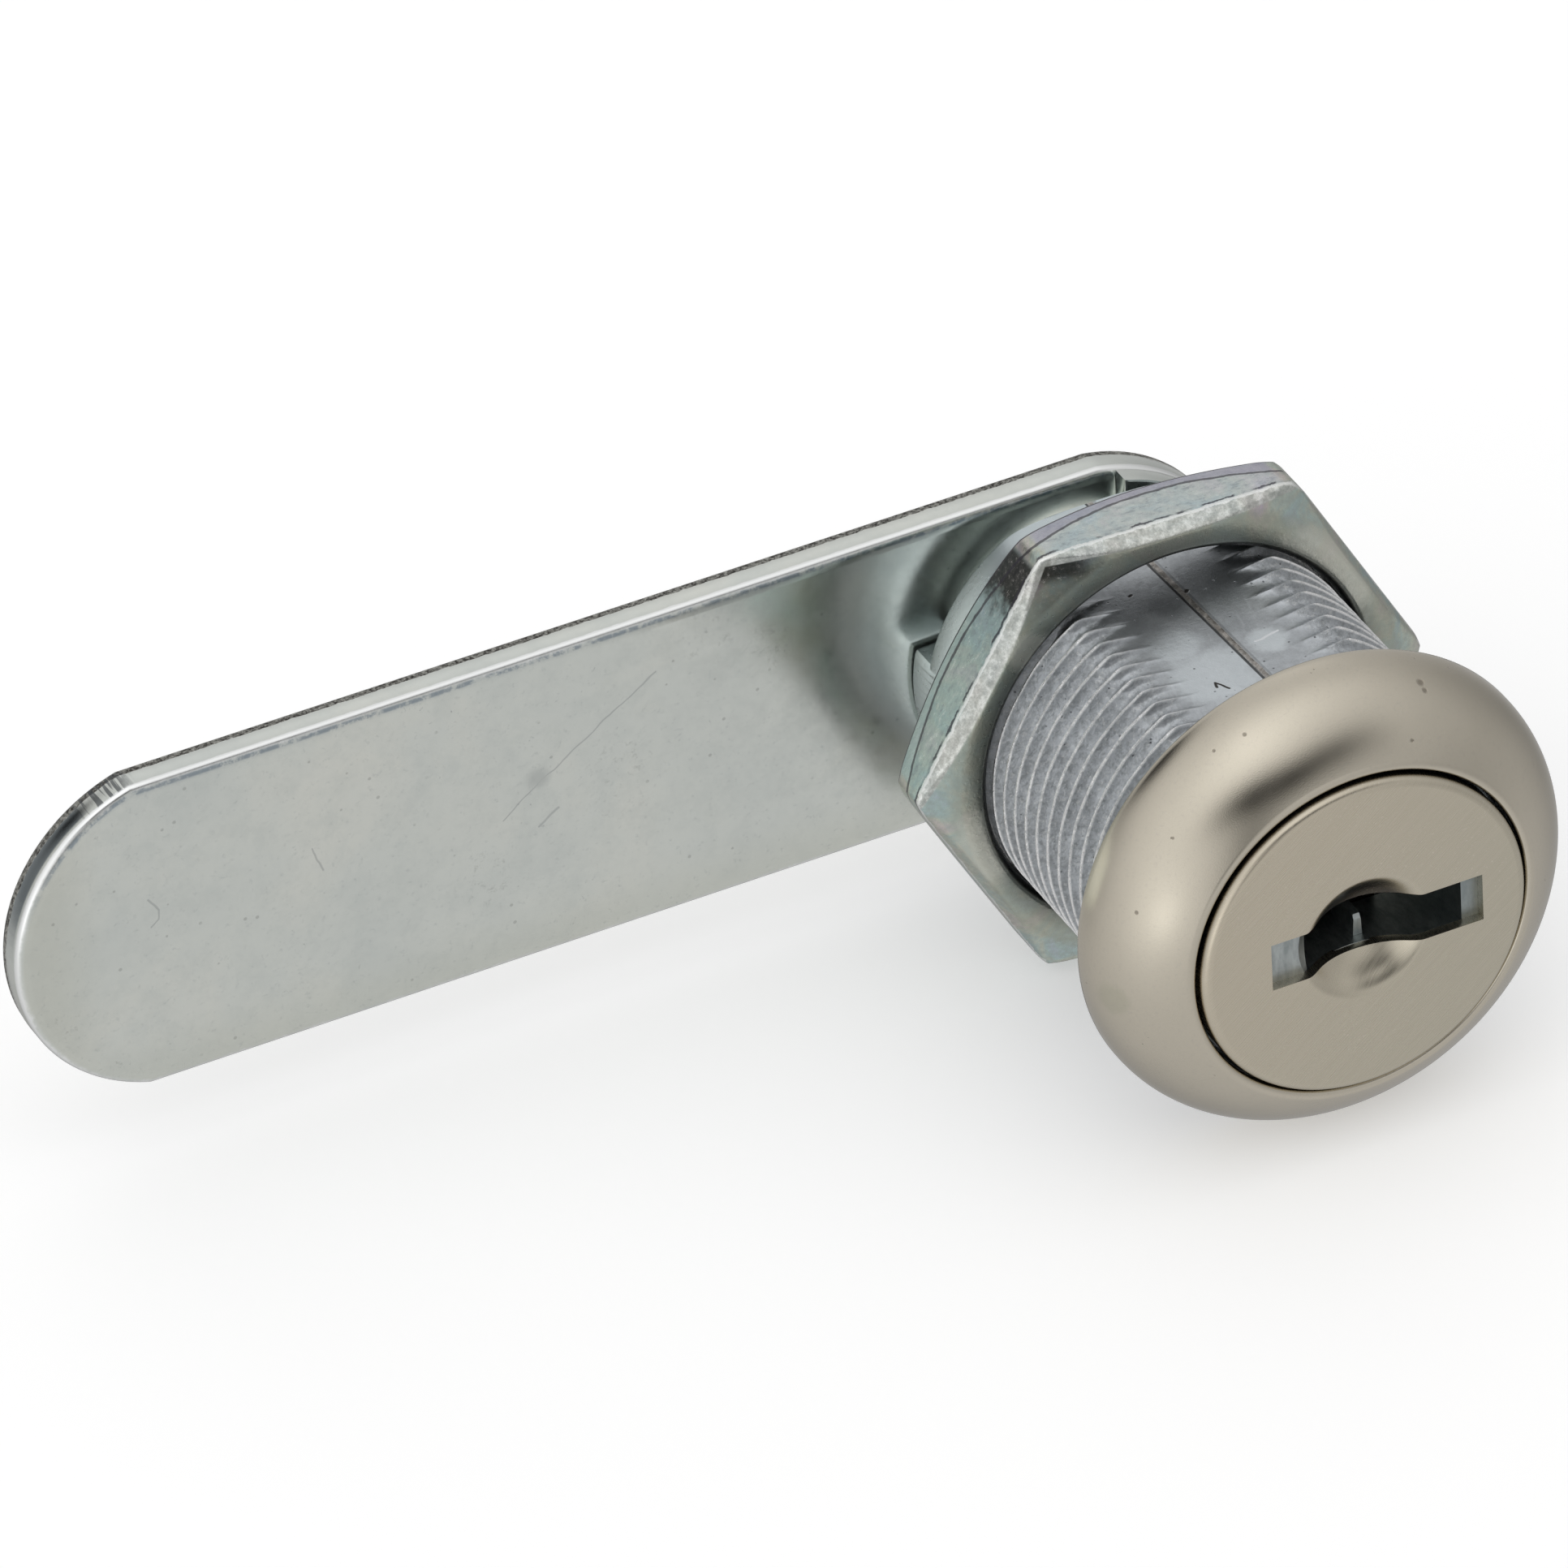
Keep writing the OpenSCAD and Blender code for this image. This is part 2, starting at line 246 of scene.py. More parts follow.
def plate(name, outline, levels, hole=None, sharp=40):
    """A flat plate across the lock's axis. levels are (inset, depth) from the front face to the rear one."""
    shape = bmesh.new()

    def ring(points, y):
        return [shape.verts.new(mm(x, y, z)) for x, z in points]

    def skin(a, b):
        for i in range(len(a)):
            k = (i + 1) % len(a)
            shape.faces.new((a[i], a[k], b[k], b[i]))

    outer = [ring(inset(outline, d), y) for d, y in levels]
    for a, b in zip(outer, outer[1:]):
        skin(a, b)
    front, rear = levels[0][1], levels[-1][1]
    inner = []
    if hole:
        inner = [ring(hole, front), ring(hole, rear)]
        skin(inner[1], inner[0])
    for side in (0, -1):
        loops = [outer[side]] + ([inner[side]] if hole else [])
        edges = []
        for loop in loops:
            for i in range(len(loop)):
                pair = (loop[i], loop[(i + 1) % len(loop)])
                edges.append(shape.edges.get(pair) or shape.edges.new(pair))
        bmesh.ops.triangle_fill(shape, edges=edges, use_beauty=True, use_dissolve=False)
    mesh = bpy.data.meshes.new(name)
    shape.to_mesh(mesh)
    shape.free()
    obj = bpy.data.objects.new(name, mesh)
    bpy.context.scene.collection.objects.link(obj)
    tidy_mesh(obj, sharp)
    flatten_caps(obj, front, rear)
    return obj


def flatten_caps(obj, *depths):
    """Faces that lie flat at these depths keep their own normal, so that they reflect as a true plane."""
    for face in obj.data.polygons:
        if abs(face.normal.y) > 0.9999 and min(abs(face.center.y / MM - d) for d in depths) < 0.001:
            face.use_smooth = False


def arc(cx, cz, r, start, end, steps):
    """Points on a circle from one angle to another, in degrees."""
    angles = [math.radians(start + (end - start) * i / steps) for i in range(steps + 1)]
    return [(cx + r * math.cos(t), cz + r * math.sin(t)) for t in angles]


def modify(obj, kind, **settings):
    """Adds a modifier and applies it."""
    modifier = obj.modifiers.new(kind.lower(), kind)
    for key, value in settings.items():
        setattr(modifier, key, value)
    bpy.context.view_layer.objects.active = obj
    bpy.ops.object.modifier_apply(modifier=modifier.name)


def cut(obj, tool, operation="DIFFERENCE"):
    modify(obj, "BOOLEAN", object=tool, operation=operation, solver="EXACT")
    bpy.data.objects.remove(tool)


def block(name, low, high):
    """A plain box between two corners, used to cut other pieces."""
    (x0, y0, z0), (x1, y1, z1) = low, high
    points = [mm(x, y, z) for x in (x0, x1) for y in (y0, y1) for z in (z0, z1)]
    faces = [(0, 1, 3, 2), (4, 6, 7, 5), (0, 4, 5, 1), (2, 3, 7, 6), (0, 2, 6, 4), (1, 5, 7, 3)]
    return add_mesh(name, points, faces)


def finish_piece(obj, body, material, slot, *nodes):
    """Puts a piece on its body, with its material, in place of the CAD nodes it stands for."""
    obj.data.materials.clear()
    obj.data.materials.append(material)
    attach(obj, body)
    if nodes:
        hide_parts(*nodes)
    return obj


# ---- material helpers ----

class Nodes:
    """Adds and links nodes in a tree. A value may be a number, a tuple or another node's output."""

    def __init__(self, tree):
        self.tree = tree

    def add(self, kind, **settings):
        node = self.tree.nodes.new(kind)
        for key, value in settings.items():
            setattr(node, key, value)
        return node

    def link(self, source, socket):
        self.tree.links.new(source, socket)

    def feed(self, value, socket):
        if isinstance(value, (int, float, tuple)):
            socket.default_value = value
        else:
            self.link(value, socket)

    def math(self, operation, a, b=0.0, c=0.0, clamp=False):
        node = self.add("ShaderNodeMath", operation=operation, use_clamp=clamp)
        for value, socket in zip((a, b, c), node.inputs):
            self.feed(value, socket)
        return node.outputs[0]

    def vector(self, operation, a, b=None, scale=None):
        node = self.add("ShaderNodeVectorMath", operation=operation)
        self.feed(a, node.inputs[0])
        if b is not None:
            self.feed(b, node.inputs[1])
        if scale is not None:
            self.feed(scale, node.inputs["Scale"])
        return node.outputs["Value" if operation in ("DOT_PRODUCT", "LENGTH", "DISTANCE") else "Vector"]


class Shader(Nodes):
    """A metal whose nodes read the piece's own place, in millimetres, and whose colour is painted on."""

    def __init__(self, name):
        self.material = bpy.data.materials.new(name)
        self.material.use_nodes = True
        super().__init__(self.material.node_tree)
        self.surface = self.tree.nodes["Principled BSDF"]
        self.surface.inputs["Metallic"].default_value = 1.0
        self.colour = None
        place = self.add("ShaderNodeTexCoord").outputs["Object"]
        self.place = self.vector("SCALE", place, scale=1 / MM)
        split = self.add("ShaderNodeSeparateXYZ")
        self.link(self.place, split.inputs[0])
        self.x, self.y, self.z = split.outputs

    # Arithmetic

    def all_of(self, *masks):
        """The product of masks and numbers."""
        total = masks[0]
        for mask in masks[1:]:
            total = self.math("MULTIPLY", total, mask)
        return total

    def any_of(self, *masks):
        """The greatest of masks."""
        total = masks[0]
        for mask in masks[1:]:
            total = self.math("MAXIMUM", total, mask)
        return total

    def outside(self, mask):
        return self.math("SUBTRACT", 1.0, mask)

    def plus(self, a, b):
        return self.math("ADD", a, b)

    def step(self, value, low, high, out_low=0.0, out_high=1.0):
        """A smooth step of value from low to high."""
        node = self.add("ShaderNodeMapRange", interpolation_type="SMOOTHSTEP")
        for number, socket in zip((value, low, high, out_low, out_high), node.inputs):
            self.feed(number, socket)
        return node.outputs[0]

    def fall(self, value, low, high):
        """1 up to low, and a smooth step down to 0 at high."""
        return self.step(value, low, high, 1.0, 0.0)

    # Textures

    def stretch(self, scale, turn=(0, 0, 0)):
        """The place, turned by degrees and then scaled along each axis."""
        node = self.add("ShaderNodeMapping", vector_type="POINT")
        self.link(self.place, node.inputs["Vector"])
        node.inputs["Rotation"].default_value = [math.radians(t) for t in turn]
        return self.vector("MULTIPLY", node.outputs[0], scale)

    def noise(self, scale, detail=2.0, rough=0.5, distortion=0.0, place=None, output="Fac"):
        node = self.add("ShaderNodeTexNoise")
        self.link(place or self.place, node.inputs["Vector"])
        node.inputs["Scale"].default_value = scale
        node.inputs["Detail"].default_value = detail
        node.inputs["Roughness"].default_value = rough
        node.inputs["Distortion"].default_value = distortion
        return node.outputs[output]

    def cells(self, scale):
        node = self.add("ShaderNodeTexVoronoi")
        self.link(self.place, node.inputs["Vector"])
        node.inputs["Scale"].default_value = scale
        return node.outputs["Distance"]

    # Masks

    def radius(self):
        """Distance from the lock's axis."""
        return self.vector("LENGTH", self.vector("MULTIPLY", self.place, (1.0, 0.0, 1.0)))

    def along(self, degrees):
        """Distance from the axis along a direction across it, turned from +X towards +Z."""
        t = math.radians(degrees)
        return self.vector("DOT_PRODUCT", self.place, (math.cos(t), 0.0, math.sin(t)))

    def near(self, point, reach, softness=0.35):
        """1 close to a point, falling to 0 at this reach, with a ragged edge."""
        away = self.vector("DISTANCE", self.place, point)
        ragged = self.plus(away, self.all_of(self.noise(1.1, 3, 0.7), reach * 0.8))
        return self.fall(ragged, reach * (1.4 - softness), reach * (1.4 + softness))

    def band(self, value, centre, half):
        """1 where value is within half of centre, with soft edges."""
        away = self.math("ABSOLUTE", self.math("SUBTRACT", value, centre))
        return self.fall(away, half * 0.5, half)

    def scratch(self, start, end, width, plane="xz"):
        """1 on a fine, slightly wandering line between two points of a plane, fading to 0 beside it."""
        spread = (lambda a, b: (a, 0.0, b)) if plane == "xz" else (lambda a, b: (a, b, 0.0))
        drift = self.vector("SUBTRACT", self.noise(0.8, output="Color"), (0.5, 0.5, 0.5))
        shifted = self.vector("ADD", self.place, self.vector("SCALE", drift, scale=0.35))
        flat = self.vector("MULTIPLY", shifted, spread(1.0, 1.0))
        origin = Vector(spread(*start))
        along = Vector(spread(*end)) - origin
        from_start = self.vector("SUBTRACT", flat, tuple(origin))
        travel = self.vector("DOT_PRODUCT", from_start, tuple(along / along.length_squared))
        travel = self.math("MINIMUM", self.math("MAXIMUM", travel, 0.0), 1.0)
        nearest = self.vector("SCALE", tuple(along), scale=travel)
        away = self.vector("DISTANCE", from_start, nearest)
        return self.fall(away, width * 0.4, width)

    # Colour and relief

    def ramp(self, value, *stops):
        """Colours along a ramp, each stop a place and a colour."""
        node = self.add("ShaderNodeValToRGB")
        self.feed(value, node.inputs[0])
        elements = node.color_ramp.elements
        while len(elements) < len(stops):
            elements.new(0.5)
        for element, (place, colour) in zip(elements, stops):
            element.position = place
            element.color = (*colour, 1)
        return node.outputs[0]

    def paint(self, tint, *masks):
        """A new colour over the one before it, as far as the product of the masks allows."""
        node = self.add("ShaderNodeMix", data_type="RGBA")
        self.feed(self.all_of(*masks), node.inputs["Factor"])
        under, over = [s for s in node.inputs if s.type == "RGBA"]
        self.link(self.colour, under)
        self.feed((*tint, 1) if isinstance(tint, tuple) else tint, over)
        self.colour = [s for s in node.outputs if s.type == "RGBA"][0]

    def bump(self, height, depth_mm, strength=1.0, under=None):
        """A bump of this depth, over the one before it."""
        node = self.add("ShaderNodeBump")
        node.inputs["Strength"].default_value = strength
        node.inputs["Distance"].default_value = depth_mm * MM
        self.link(height, node.inputs["Height"])
        if under is not None:
            self.link(under, node.inputs["Normal"])
        return node.outputs[0]

    def out(self, roughness, normal):
        self.link(self.colour, self.surface.inputs["Base Color"])
        self.link(roughness, self.surface.inputs["Roughness"])
        self.link(normal, self.surface.inputs["Normal"])
        return self.material


# ---- nickel ----

# Small dark marks on the head: place and reach
HEAD_MARKS = [
    ((4.6, -2.4, 10.13), 0.17),
    ((4.62, -2.75, 9.9), 0.13),
    ((3.04, -4.4, 8.8), 0.08),
    ((-4.0, -2.3, 10.4), 0.08),
    ((-5.4, -2.05, 9.9), 0.07),
    ((-8.1, -3.15, 6.9), 0.07),
    ((-10.0, -3.15, 3.6), 0.08),
]


def satin_nickel():
    """Satin nickel on the head: even, slightly warm, with a fine matt grain and a few pits."""
    s = Shader("satin_nickel")
    clouds = s.noise(0.18, 3, 0.55)
    s.colour = s.ramp(clouds, (0.3, (0.575, 0.53, 0.44)), (0.7, (0.625, 0.575, 0.48)))
    grain = s.noise(16, 2, 0.6)
    s.paint((0.70, 0.66, 0.57), s.step(grain, 0.35, 0.75, 0.0, 0.12))
    dust = s.step(s.noise(5.0, 4, 0.8), 0.52, 0.7, 0.0, 0.22)
    s.paint((0.46, 0.43, 0.39), dust)
    pits = s.all_of(s.fall(s.cells(1.3), 0.03, 0.07), s.step(s.noise(0.4, 1), 0.5, 0.6))
    dots = s.any_of(*[s.near(place, reach, 0.5) for place, reach in HEAD_MARKS])
    marks = s.any_of(s.all_of(pits, 0.45), s.all_of(dots, 0.6))
    s.paint((0.17, 0.14, 0.11), marks)
    smudge = s.near((-11.0, -2.5, -1.1), 0.8)
    s.paint((0.36, 0.38, 0.27), smudge, 0.22)
    rough = s.plus(s.step(clouds, 0.3, 0.7, 0.17, 0.22), s.all_of(marks, 0.3))
    normal = s.bump(grain, 0.006, 0.35)
    return s.out(rough, s.bump(s.outside(marks), 0.03, 1.0, normal))


def brushed_nickel():
    """The face cap: the same nickel with straight fine brushing, with painted shade towards its lower right
    and painted shade on the shaded side of its dimple.
    """
    s = Shader("brushed_nickel")
    lines = s.noise(1.0, 3, 0.65, place=s.stretch((0.35, 1.0, 14.0), (0, 38, 0)))
    fine = s.noise(1.0, 2, 0.6, place=s.stretch((1.2, 1.0, 38.0), (0, 40, 0)))
    streaks = s.plus(s.all_of(lines, 0.6), s.all_of(fine, 0.4))
    s.colour = s.ramp(streaks, (0.3, (0.60, 0.54, 0.43)), (0.7, (0.665, 0.60, 0.49)))
    # Painted shade: the face darker and cooler towards the lower right.
    shaded_nickel = s.ramp(streaks, (0.3, (0.53, 0.50, 0.41)), (0.7, (0.60, 0.56, 0.46)))
    s.paint(shaded_nickel, s.step(s.along(-35), -9.0, 9.0, 0.0, 0.75))
    # Painted shade on the upper side of the dimple, above the slot.
    deep = s.step(s.y, 0.03 - FACE_FRONT, 0.75 - FACE_FRONT)
    s.paint((0.06, 0.055, 0.055), deep, s.step(s.z, 0.5, 1.3), 0.93)
    sparkle = s.all_of(s.step(s.noise(9.0, 1), 0.68, 0.74), s.step(s.noise(0.25, 1), 0.48, 0.6))
    s.paint((0.90, 0.80, 0.72), sparkle, 0.35)
    return s.out(s.step(streaks, 0.3, 0.7, 0.24, 0.32), s.bump(streaks, 0.006, 0.35))


# ---- cast zinc ----

# Nicks on the body's flat: start and end in x and y, and width
FLAT_NICKS = [
    ((-1.6, 5.15), (-1.3, 4.45), 0.07),
    ((-1.75, 4.8), (-1.6, 5.15), 0.07),
    ((0.45, 11.85), (0.55, 11.95), 0.14),
    ((-1.8, 12.8), (-1.7, 12.85), 0.1),
]
BRIGHT_NICK = ((1.3, 6.95), (2.6, 7.2), 0.08)


def cast_zinc():
    """Die-cast zinc: blue-grey, cloudy, with dark specks, and bright where the thread's crests are rubbed."""
    s = Shader("cast_zinc")
    clouds = s.noise(0.45, 5, 0.65, 0.6)
    s.colour = s.ramp(clouds, (0.25, (0.40, 0.42, 0.44)), (0.5, (0.50, 0.525, 0.55)),
                      (0.78, (0.60, 0.63, 0.655)))
    radius = s.radius()
    on_thread = s.step(radius, 8.55, 8.75)
    mottle_and_light_zinc(s, on_thread)
    specks = s.all_of(s.fall(s.cells(2.6), 0.08, 0.16), s.step(s.noise(0.9, 2), 0.5, 0.62))
    s.paint((0.07, 0.075, 0.08), specks, 0.75)
    crest = s.step(radius, CREST_R - 0.12, CREST_R - 0.03)
    rubbed = s.all_of(crest, s.step(s.noise(3.0, 3, 0.75), 0.34, 0.52, 0.5, 1.0))
    s.paint((0.98, 0.98, 0.98), rubbed)
    paint_ridge_light_and_shade(s)
    neck = s.step(s.y, THREAD_END - 0.1, THREAD_END + 0.3)
    s.paint((0.64, 0.715, 0.735), neck, 0.85)
    nicks = mark_flats(s)

    rough = s.plus(s.step(clouds, 0.2, 0.8, 0.44, 0.32), s.all_of(neck, -0.1))
    rough = s.math("SUBTRACT", rough, s.all_of(rubbed, 0.12))
    coarse = s.all_of(s.noise(4.5, 5, 0.75), s.plus(s.all_of(on_thread, 0.7), 0.3))
    normal = s.bump(coarse, 0.07, 0.8)
    return s.out(rough, s.bump(s.outside(s.any_of(specks, nicks)), 0.03, 0.8, normal))


def mottle_and_light_zinc(s, on_thread):
    """Cloudy darker and paler patches, strongest on the thread, and on the upper flat painted patches of
    light and painted shade near the nut.
    """
    dark = s.step(s.noise(2.6, 5, 0.8), 0.42, 0.62, 0.0, 0.8)
    s.paint((0.29, 0.305, 0.315), dark, s.plus(s.all_of(on_thread, 0.55), 0.35))
    pale = s.step(s.noise(4.2, 3, 0.7), 0.54, 0.66, 0.0, 0.55)
    s.paint((0.66, 0.67, 0.67), pale, on_thread)
    smear = s.noise(1.0, 4, 0.65, place=s.stretch((2.2, 0.35, 2.2), (0, 0, 12)))
    s.paint((0.66, 0.69, 0.72), s.step(smear, 0.52, 0.72, 0.0, 0.4))
    # Painted light: paler patches on the upper flat.
    painted_light_patches = s.any_of(s.near((-1.4, 5.6, FLAT_Z), 2.0), s.near((-1.8, 8.4, FLAT_Z), 1.2),
                     s.near((1.9, 6.8, FLAT_Z), 0.9))
    s.paint((0.74, 0.79, 0.82), painted_light_patches, 0.75)
    # Painted shade: dark patches on the upper flat near the nut, the nut's shade.
    nut_shade = s.any_of(s.near((-2.8, 9.9, FLAT_Z), 1.3, 0.6), s.near((-0.9, 11.2, FLAT_Z), 0.9, 0.6))
    s.paint((0.16, 0.17, 0.18), nut_shade, 0.5)


def paint_ridge_light_and_shade(s):
    """The thread's ends where they run out on the flats: along each ridge a painted highlight, with painted
    shade on its front side, turn by turn.
    """
    turn = s.plus(s.y, s.all_of(s.noise(1.3, 3, 0.7), 0.12))
    turn = s.math("SUBTRACT", turn, FIRST_CREST + 0.06)
    on_flat = s.step(s.math("ABSOLUTE", s.z), FLAT_Z - 0.25, FLAT_Z - 0.15)
    for side, start, end, strength in ((-1, 2.9, 4.6, 0.65), (1, 3.4, 5.0, 0.2)):
        reach = s.all_of(s.step(s.all_of(s.x, side), start, end), on_flat)
        # Painted shade on the front side of each ridge.
        before = s.math("PINGPONG", s.plus(turn, 0.17), PITCH / 2)
        s.paint((0.17, 0.18, 0.19), s.fall(before, 0.03, 0.12), reach, strength)
        # Painted highlight along each ridge.
        from_crest = s.math("PINGPONG", turn, PITCH / 2)
        s.paint((0.95, 0.96, 0.97), s.fall(from_crest, 0.02, 0.09), reach, strength)


def mark_flats(s):
    """The rough parting seam along each flat, and nicks. Gives the nicks' mask."""
    on_flat = s.step(s.math("ABSOLUTE", s.z), FLAT_Z - 0.1, FLAT_Z - 0.04)
    across = s.plus(s.x, s.all_of(s.y, PARTING_SLOPE))
    crumbs = s.ramp(s.noise(4.5, 4, 0.8), (0.38, (0.20, 0.17, 0.14)), (0.6, (0.48, 0.44, 0.40)))
    s.paint(crumbs, s.band(across, PARTING_X, 0.19), on_flat, 0.8)
    for side, strength in ((-0.2, 0.9), (0.22, 0.35)):
        s.paint((0.05, 0.05, 0.05), s.band(across, PARTING_X + side, 0.075), on_flat, strength)
    nicks = s.any_of(*[s.scratch(*nick, "xy") for nick in FLAT_NICKS])
    s.paint((0.06, 0.055, 0.05), nicks, on_flat)
    s.paint((0.85, 0.87, 0.90), s.scratch(*BRIGHT_NICK, "xy"), on_flat)
    return nicks


def clean_plug():
    """The plug's die-cast front, drawn with streaks across it, with painted shade towards +X."""
    s = Shader("plug_zinc")
    clouds = s.noise(1.0, 4, 0.65, 0.3, place=s.stretch((2.6, 1.0, 0.7)))
    s.colour = s.ramp(clouds, (0.3, (0.29, 0.33, 0.33)), (0.5, (0.42, 0.45, 0.45)), (0.7, (0.52, 0.56, 0.55)))
    # Painted shade: darker towards +X, at the slot's right end.
    s.paint((0.21, 0.25, 0.26), s.step(s.x, 3.5, 4.5, 0.0, 0.45))
    grain = s.noise(6.0, 4, 0.7)
    return s.out(s.step(grain, 0.3, 0.7, 0.32, 0.46), s.bump(grain, 0.02, 0.5))


# ---- the nut's plate ----

class NutPlate(Shader):
    """Rough plate with blue, green, violet and yellow tints, and a mask for each face in the photo."""

    def __init__(self):
        super().__init__("plated_nut")
        self.inner = NUT_INRADIUS - BEVEL_W
        self.off_axis = self.radius()
        self.top, self.left, self.low = (self.along(normal + NUT_TURN) for normal in (90, 150, 210))
        self.before_side = self.fall(self.y, NUT_AT + 0.95, NUT_AT + 1.05)
        self.face = self.step(self.y, NUT_AT + 0.35, NUT_AT + 0.1, 0.0, 1.0)
        self.on_left = self.step(self.left, NUT_INRADIUS - 0.07, NUT_INRADIUS - 0.02)
        self.on_top = self.step(self.top, NUT_INRADIUS - 0.07, NUT_INRADIUS - 0.02)
        self.sides = self.any_of(self.on_left, self.on_top)
        self.cone = self.all_of(self.step(self.off_axis, NUT_FACE_R, NUT_FACE_R + 0.25), self.before_side)
        crease = self.plus(self.y, self.all_of(self.off_axis, 0.82))
        self.crease = self.plus(crease, self.all_of(self.noise(0.9, 3, 0.7), 0.25))

    def tint_and_shade_face(self):
        """The front face: greener and darker, the plate's green tint with a painted dark reflection of the
        head's back, painted shade round the bore and a few painted patches of light.
        """
        # The plate's green tint, darkened as a painted reflection of the head's dark back.
        self.paint((0.385, 0.395, 0.325), self.face, 0.6)
        # Painted shade round the bore.
        bore_edge_shade = self.step(self.off_axis, NUT_SINK_R, 10.7, 0.6, 0.0)
        self.paint((0.16, 0.17, 0.16), bore_edge_shade, self.face)
        # Painted light: pale patches on the front face.
        pale = self.any_of(self.near((-9.9, NUT_AT, -2.8), 2.0), self.near((8.0, NUT_AT, 6.2), 3.0),
                           self.near((-7.1, NUT_AT, 7.0), 0.9))
        self.paint((0.74, 0.74, 0.66), pale, self.face, 0.6)

    def tint_sides(self):
        """The two sides in view: teal and pale blue, rubbed, and violet past a crease near the rear."""
        self.paint((0.37, 0.52, 0.53), self.on_left, 0.45)
        self.paint((0.62, 0.70, 0.76), self.on_top, 0.42)
        rubs = self.noise(1.0, 5, 0.75, place=self.stretch((1.6, 3.4, 1.6)))
        self.paint((0.27, 0.30, 0.33), self.step(rubs, 0.5, 0.68, 0.0, 0.6), self.sides)
        self.paint((0.80, 0.83, 0.80), self.step(rubs, 0.46, 0.32, 0.0, 0.5), self.sides)
        past_crease = self.step(self.crease, 24.3, 24.5)
        self.paint((0.41, 0.38, 0.50), past_crease, self.on_top, 0.55)
        self.paint((0.55, 0.68, 0.68), past_crease, self.on_left, 0.5)

    def highlight_bevels(self):
        """The bevels in view: a painted highlight, white broken by grey."""
        bevels = self.step(self.any_of(self.top, self.left), self.inner - 0.03, self.inner + 0.06)
        # Painted highlight along the bevels.
        bevel_highlight = self.ramp(self.noise(2.4, 4, 0.75), (0.36, (0.40, 0.41, 0.39)), (0.52, (0.62, 0.63, 0.60)),
                          (0.62, (0.84, 0.85, 0.82)))
        self.paint(bevel_highlight, bevels, self.before_side, self.outside(self.sides), 0.8)

    def burn_corner(self):
        """Teal on the coned corners at the left, and the corner between top and left burnt dark."""
        teal = self.all_of(self.cone, self.not_bevelled(self.left, self.low),
                           self.fall(self.x, -10.2, -9.2))
        self.paint((0.40, 0.52, 0.50), teal, 0.25)
        facet = self.all_of(self.cone, self.not_bevelled(self.top, self.left),
                            self.near((-5.5, NUT_AT + 0.4, 9.9), 2.0, 0.55),
                            self.step(self.top, 9.6, 10.2, 0.45, 1.0))
        down = self.math("SUBTRACT", self.all_of(self.noise(0.9, 3, 0.75), 3.0), self.along(60 + NUT_TURN))
        burnt = self.any_of(self.all_of(self.fall(down, -2.6, -1.2), self.on_left), facet)
        grime = self.ramp(self.noise(3.4, 5, 0.85), (0.44, (0.022, 0.02, 0.018)), (0.57, (0.06, 0.055, 0.05)),
                          (0.67, (0.46, 0.44, 0.42)))
        self.paint(grime, burnt, 0.92)
        return burnt

    def not_bevelled(self, one, other):
        """1 on the cone, inside the bevels along two neighbouring sides."""
        return self.fall(self.any_of(one, other), self.inner, self.inner + 0.06)

    def light_and_shade_edges(self):
        """A ragged painted highlight on the lip behind the bevels, and painted shade in dark lines at a fold,
        the crease and the rear edge.
        """
        on_side = self.step(self.off_axis, 10.9, 10.98)
        ragged = self.plus(self.y, self.all_of(self.noise(2.2, 3, 0.7), 0.3))
        # Painted highlight on the lip behind the bevels.
        lip = self.all_of(self.band(ragged, NUT_AT + BEVEL_H + 0.13, 0.1), on_side)
        self.paint((0.93, 0.94, 0.92), lip, 0.75)
        # Painted shade: dark lines at a fold, at the crease and along the rear edge.
        fold_shade = self.all_of(self.band(ragged, NUT_AT + BEVEL_H + 0.3, 0.08), on_side,
                           self.step(self.noise(0.6, 2), 0.42, 0.5))
        line = self.all_of(self.band(self.crease, 24.34, 0.1), self.step(self.off_axis, 10.85, 10.95))
        rear = self.plus(self.y, self.all_of(self.off_axis, NUT_BACK_SLOPE))
        rear_edge_shade = self.band(rear, NUT_AT + NUT_T + NUT_BACK_SLOPE * NUT_BACK_R - 0.08, 0.075)
        self.paint((0.07, 0.065, 0.08), self.any_of(self.all_of(line, 0.8), self.all_of(fold_shade, 0.85), rear_edge_shade))


def plated_nut():
    """The nut's plate, layer by layer, with one corner burnt dark."""
    s = NutPlate()
    s.colour = s.ramp(
        s.noise(0.42, 4, 0.62, 0.8),
        (0.25, (0.52, 0.57, 0.65)),
        (0.42, (0.46, 0.575, 0.555)),
        (0.55, (0.58, 0.61, 0.52)),
        (0.66, (0.63, 0.58, 0.55)),
        (0.80, (0.56, 0.50, 0.60)),
    )
    mottle = s.noise(3.2, 4, 0.7)
    s.paint((0.38, 0.41, 0.39), s.step(mottle, 0.35, 0.7, 0.0, 0.5))
    s.tint_and_shade_face()
    s.tint_sides()
    s.highlight_bevels()
    burnt = s.burn_corner()
    s.light_and_shade_edges()
    # Painted shade inside the bore.
    bore = s.fall(s.off_axis, NUT_BORE + 0.12, NUT_BORE + 0.3)
    s.paint((0.05, 0.05, 0.05), bore, 0.9)
    rough = s.math("ADD", s.step(mottle, 0.3, 0.7, 0.26, 0.36), s.all_of(burnt, 0.15), clamp=True)
    normal = s.bump(s.noise(4.0, 4, 0.65), 0.04, 0.5)
    return s.out(rough, s.bump(s.noise(7.0, 3, 0.7), 0.02, 0.6, normal))


# ---- plated stampings ----

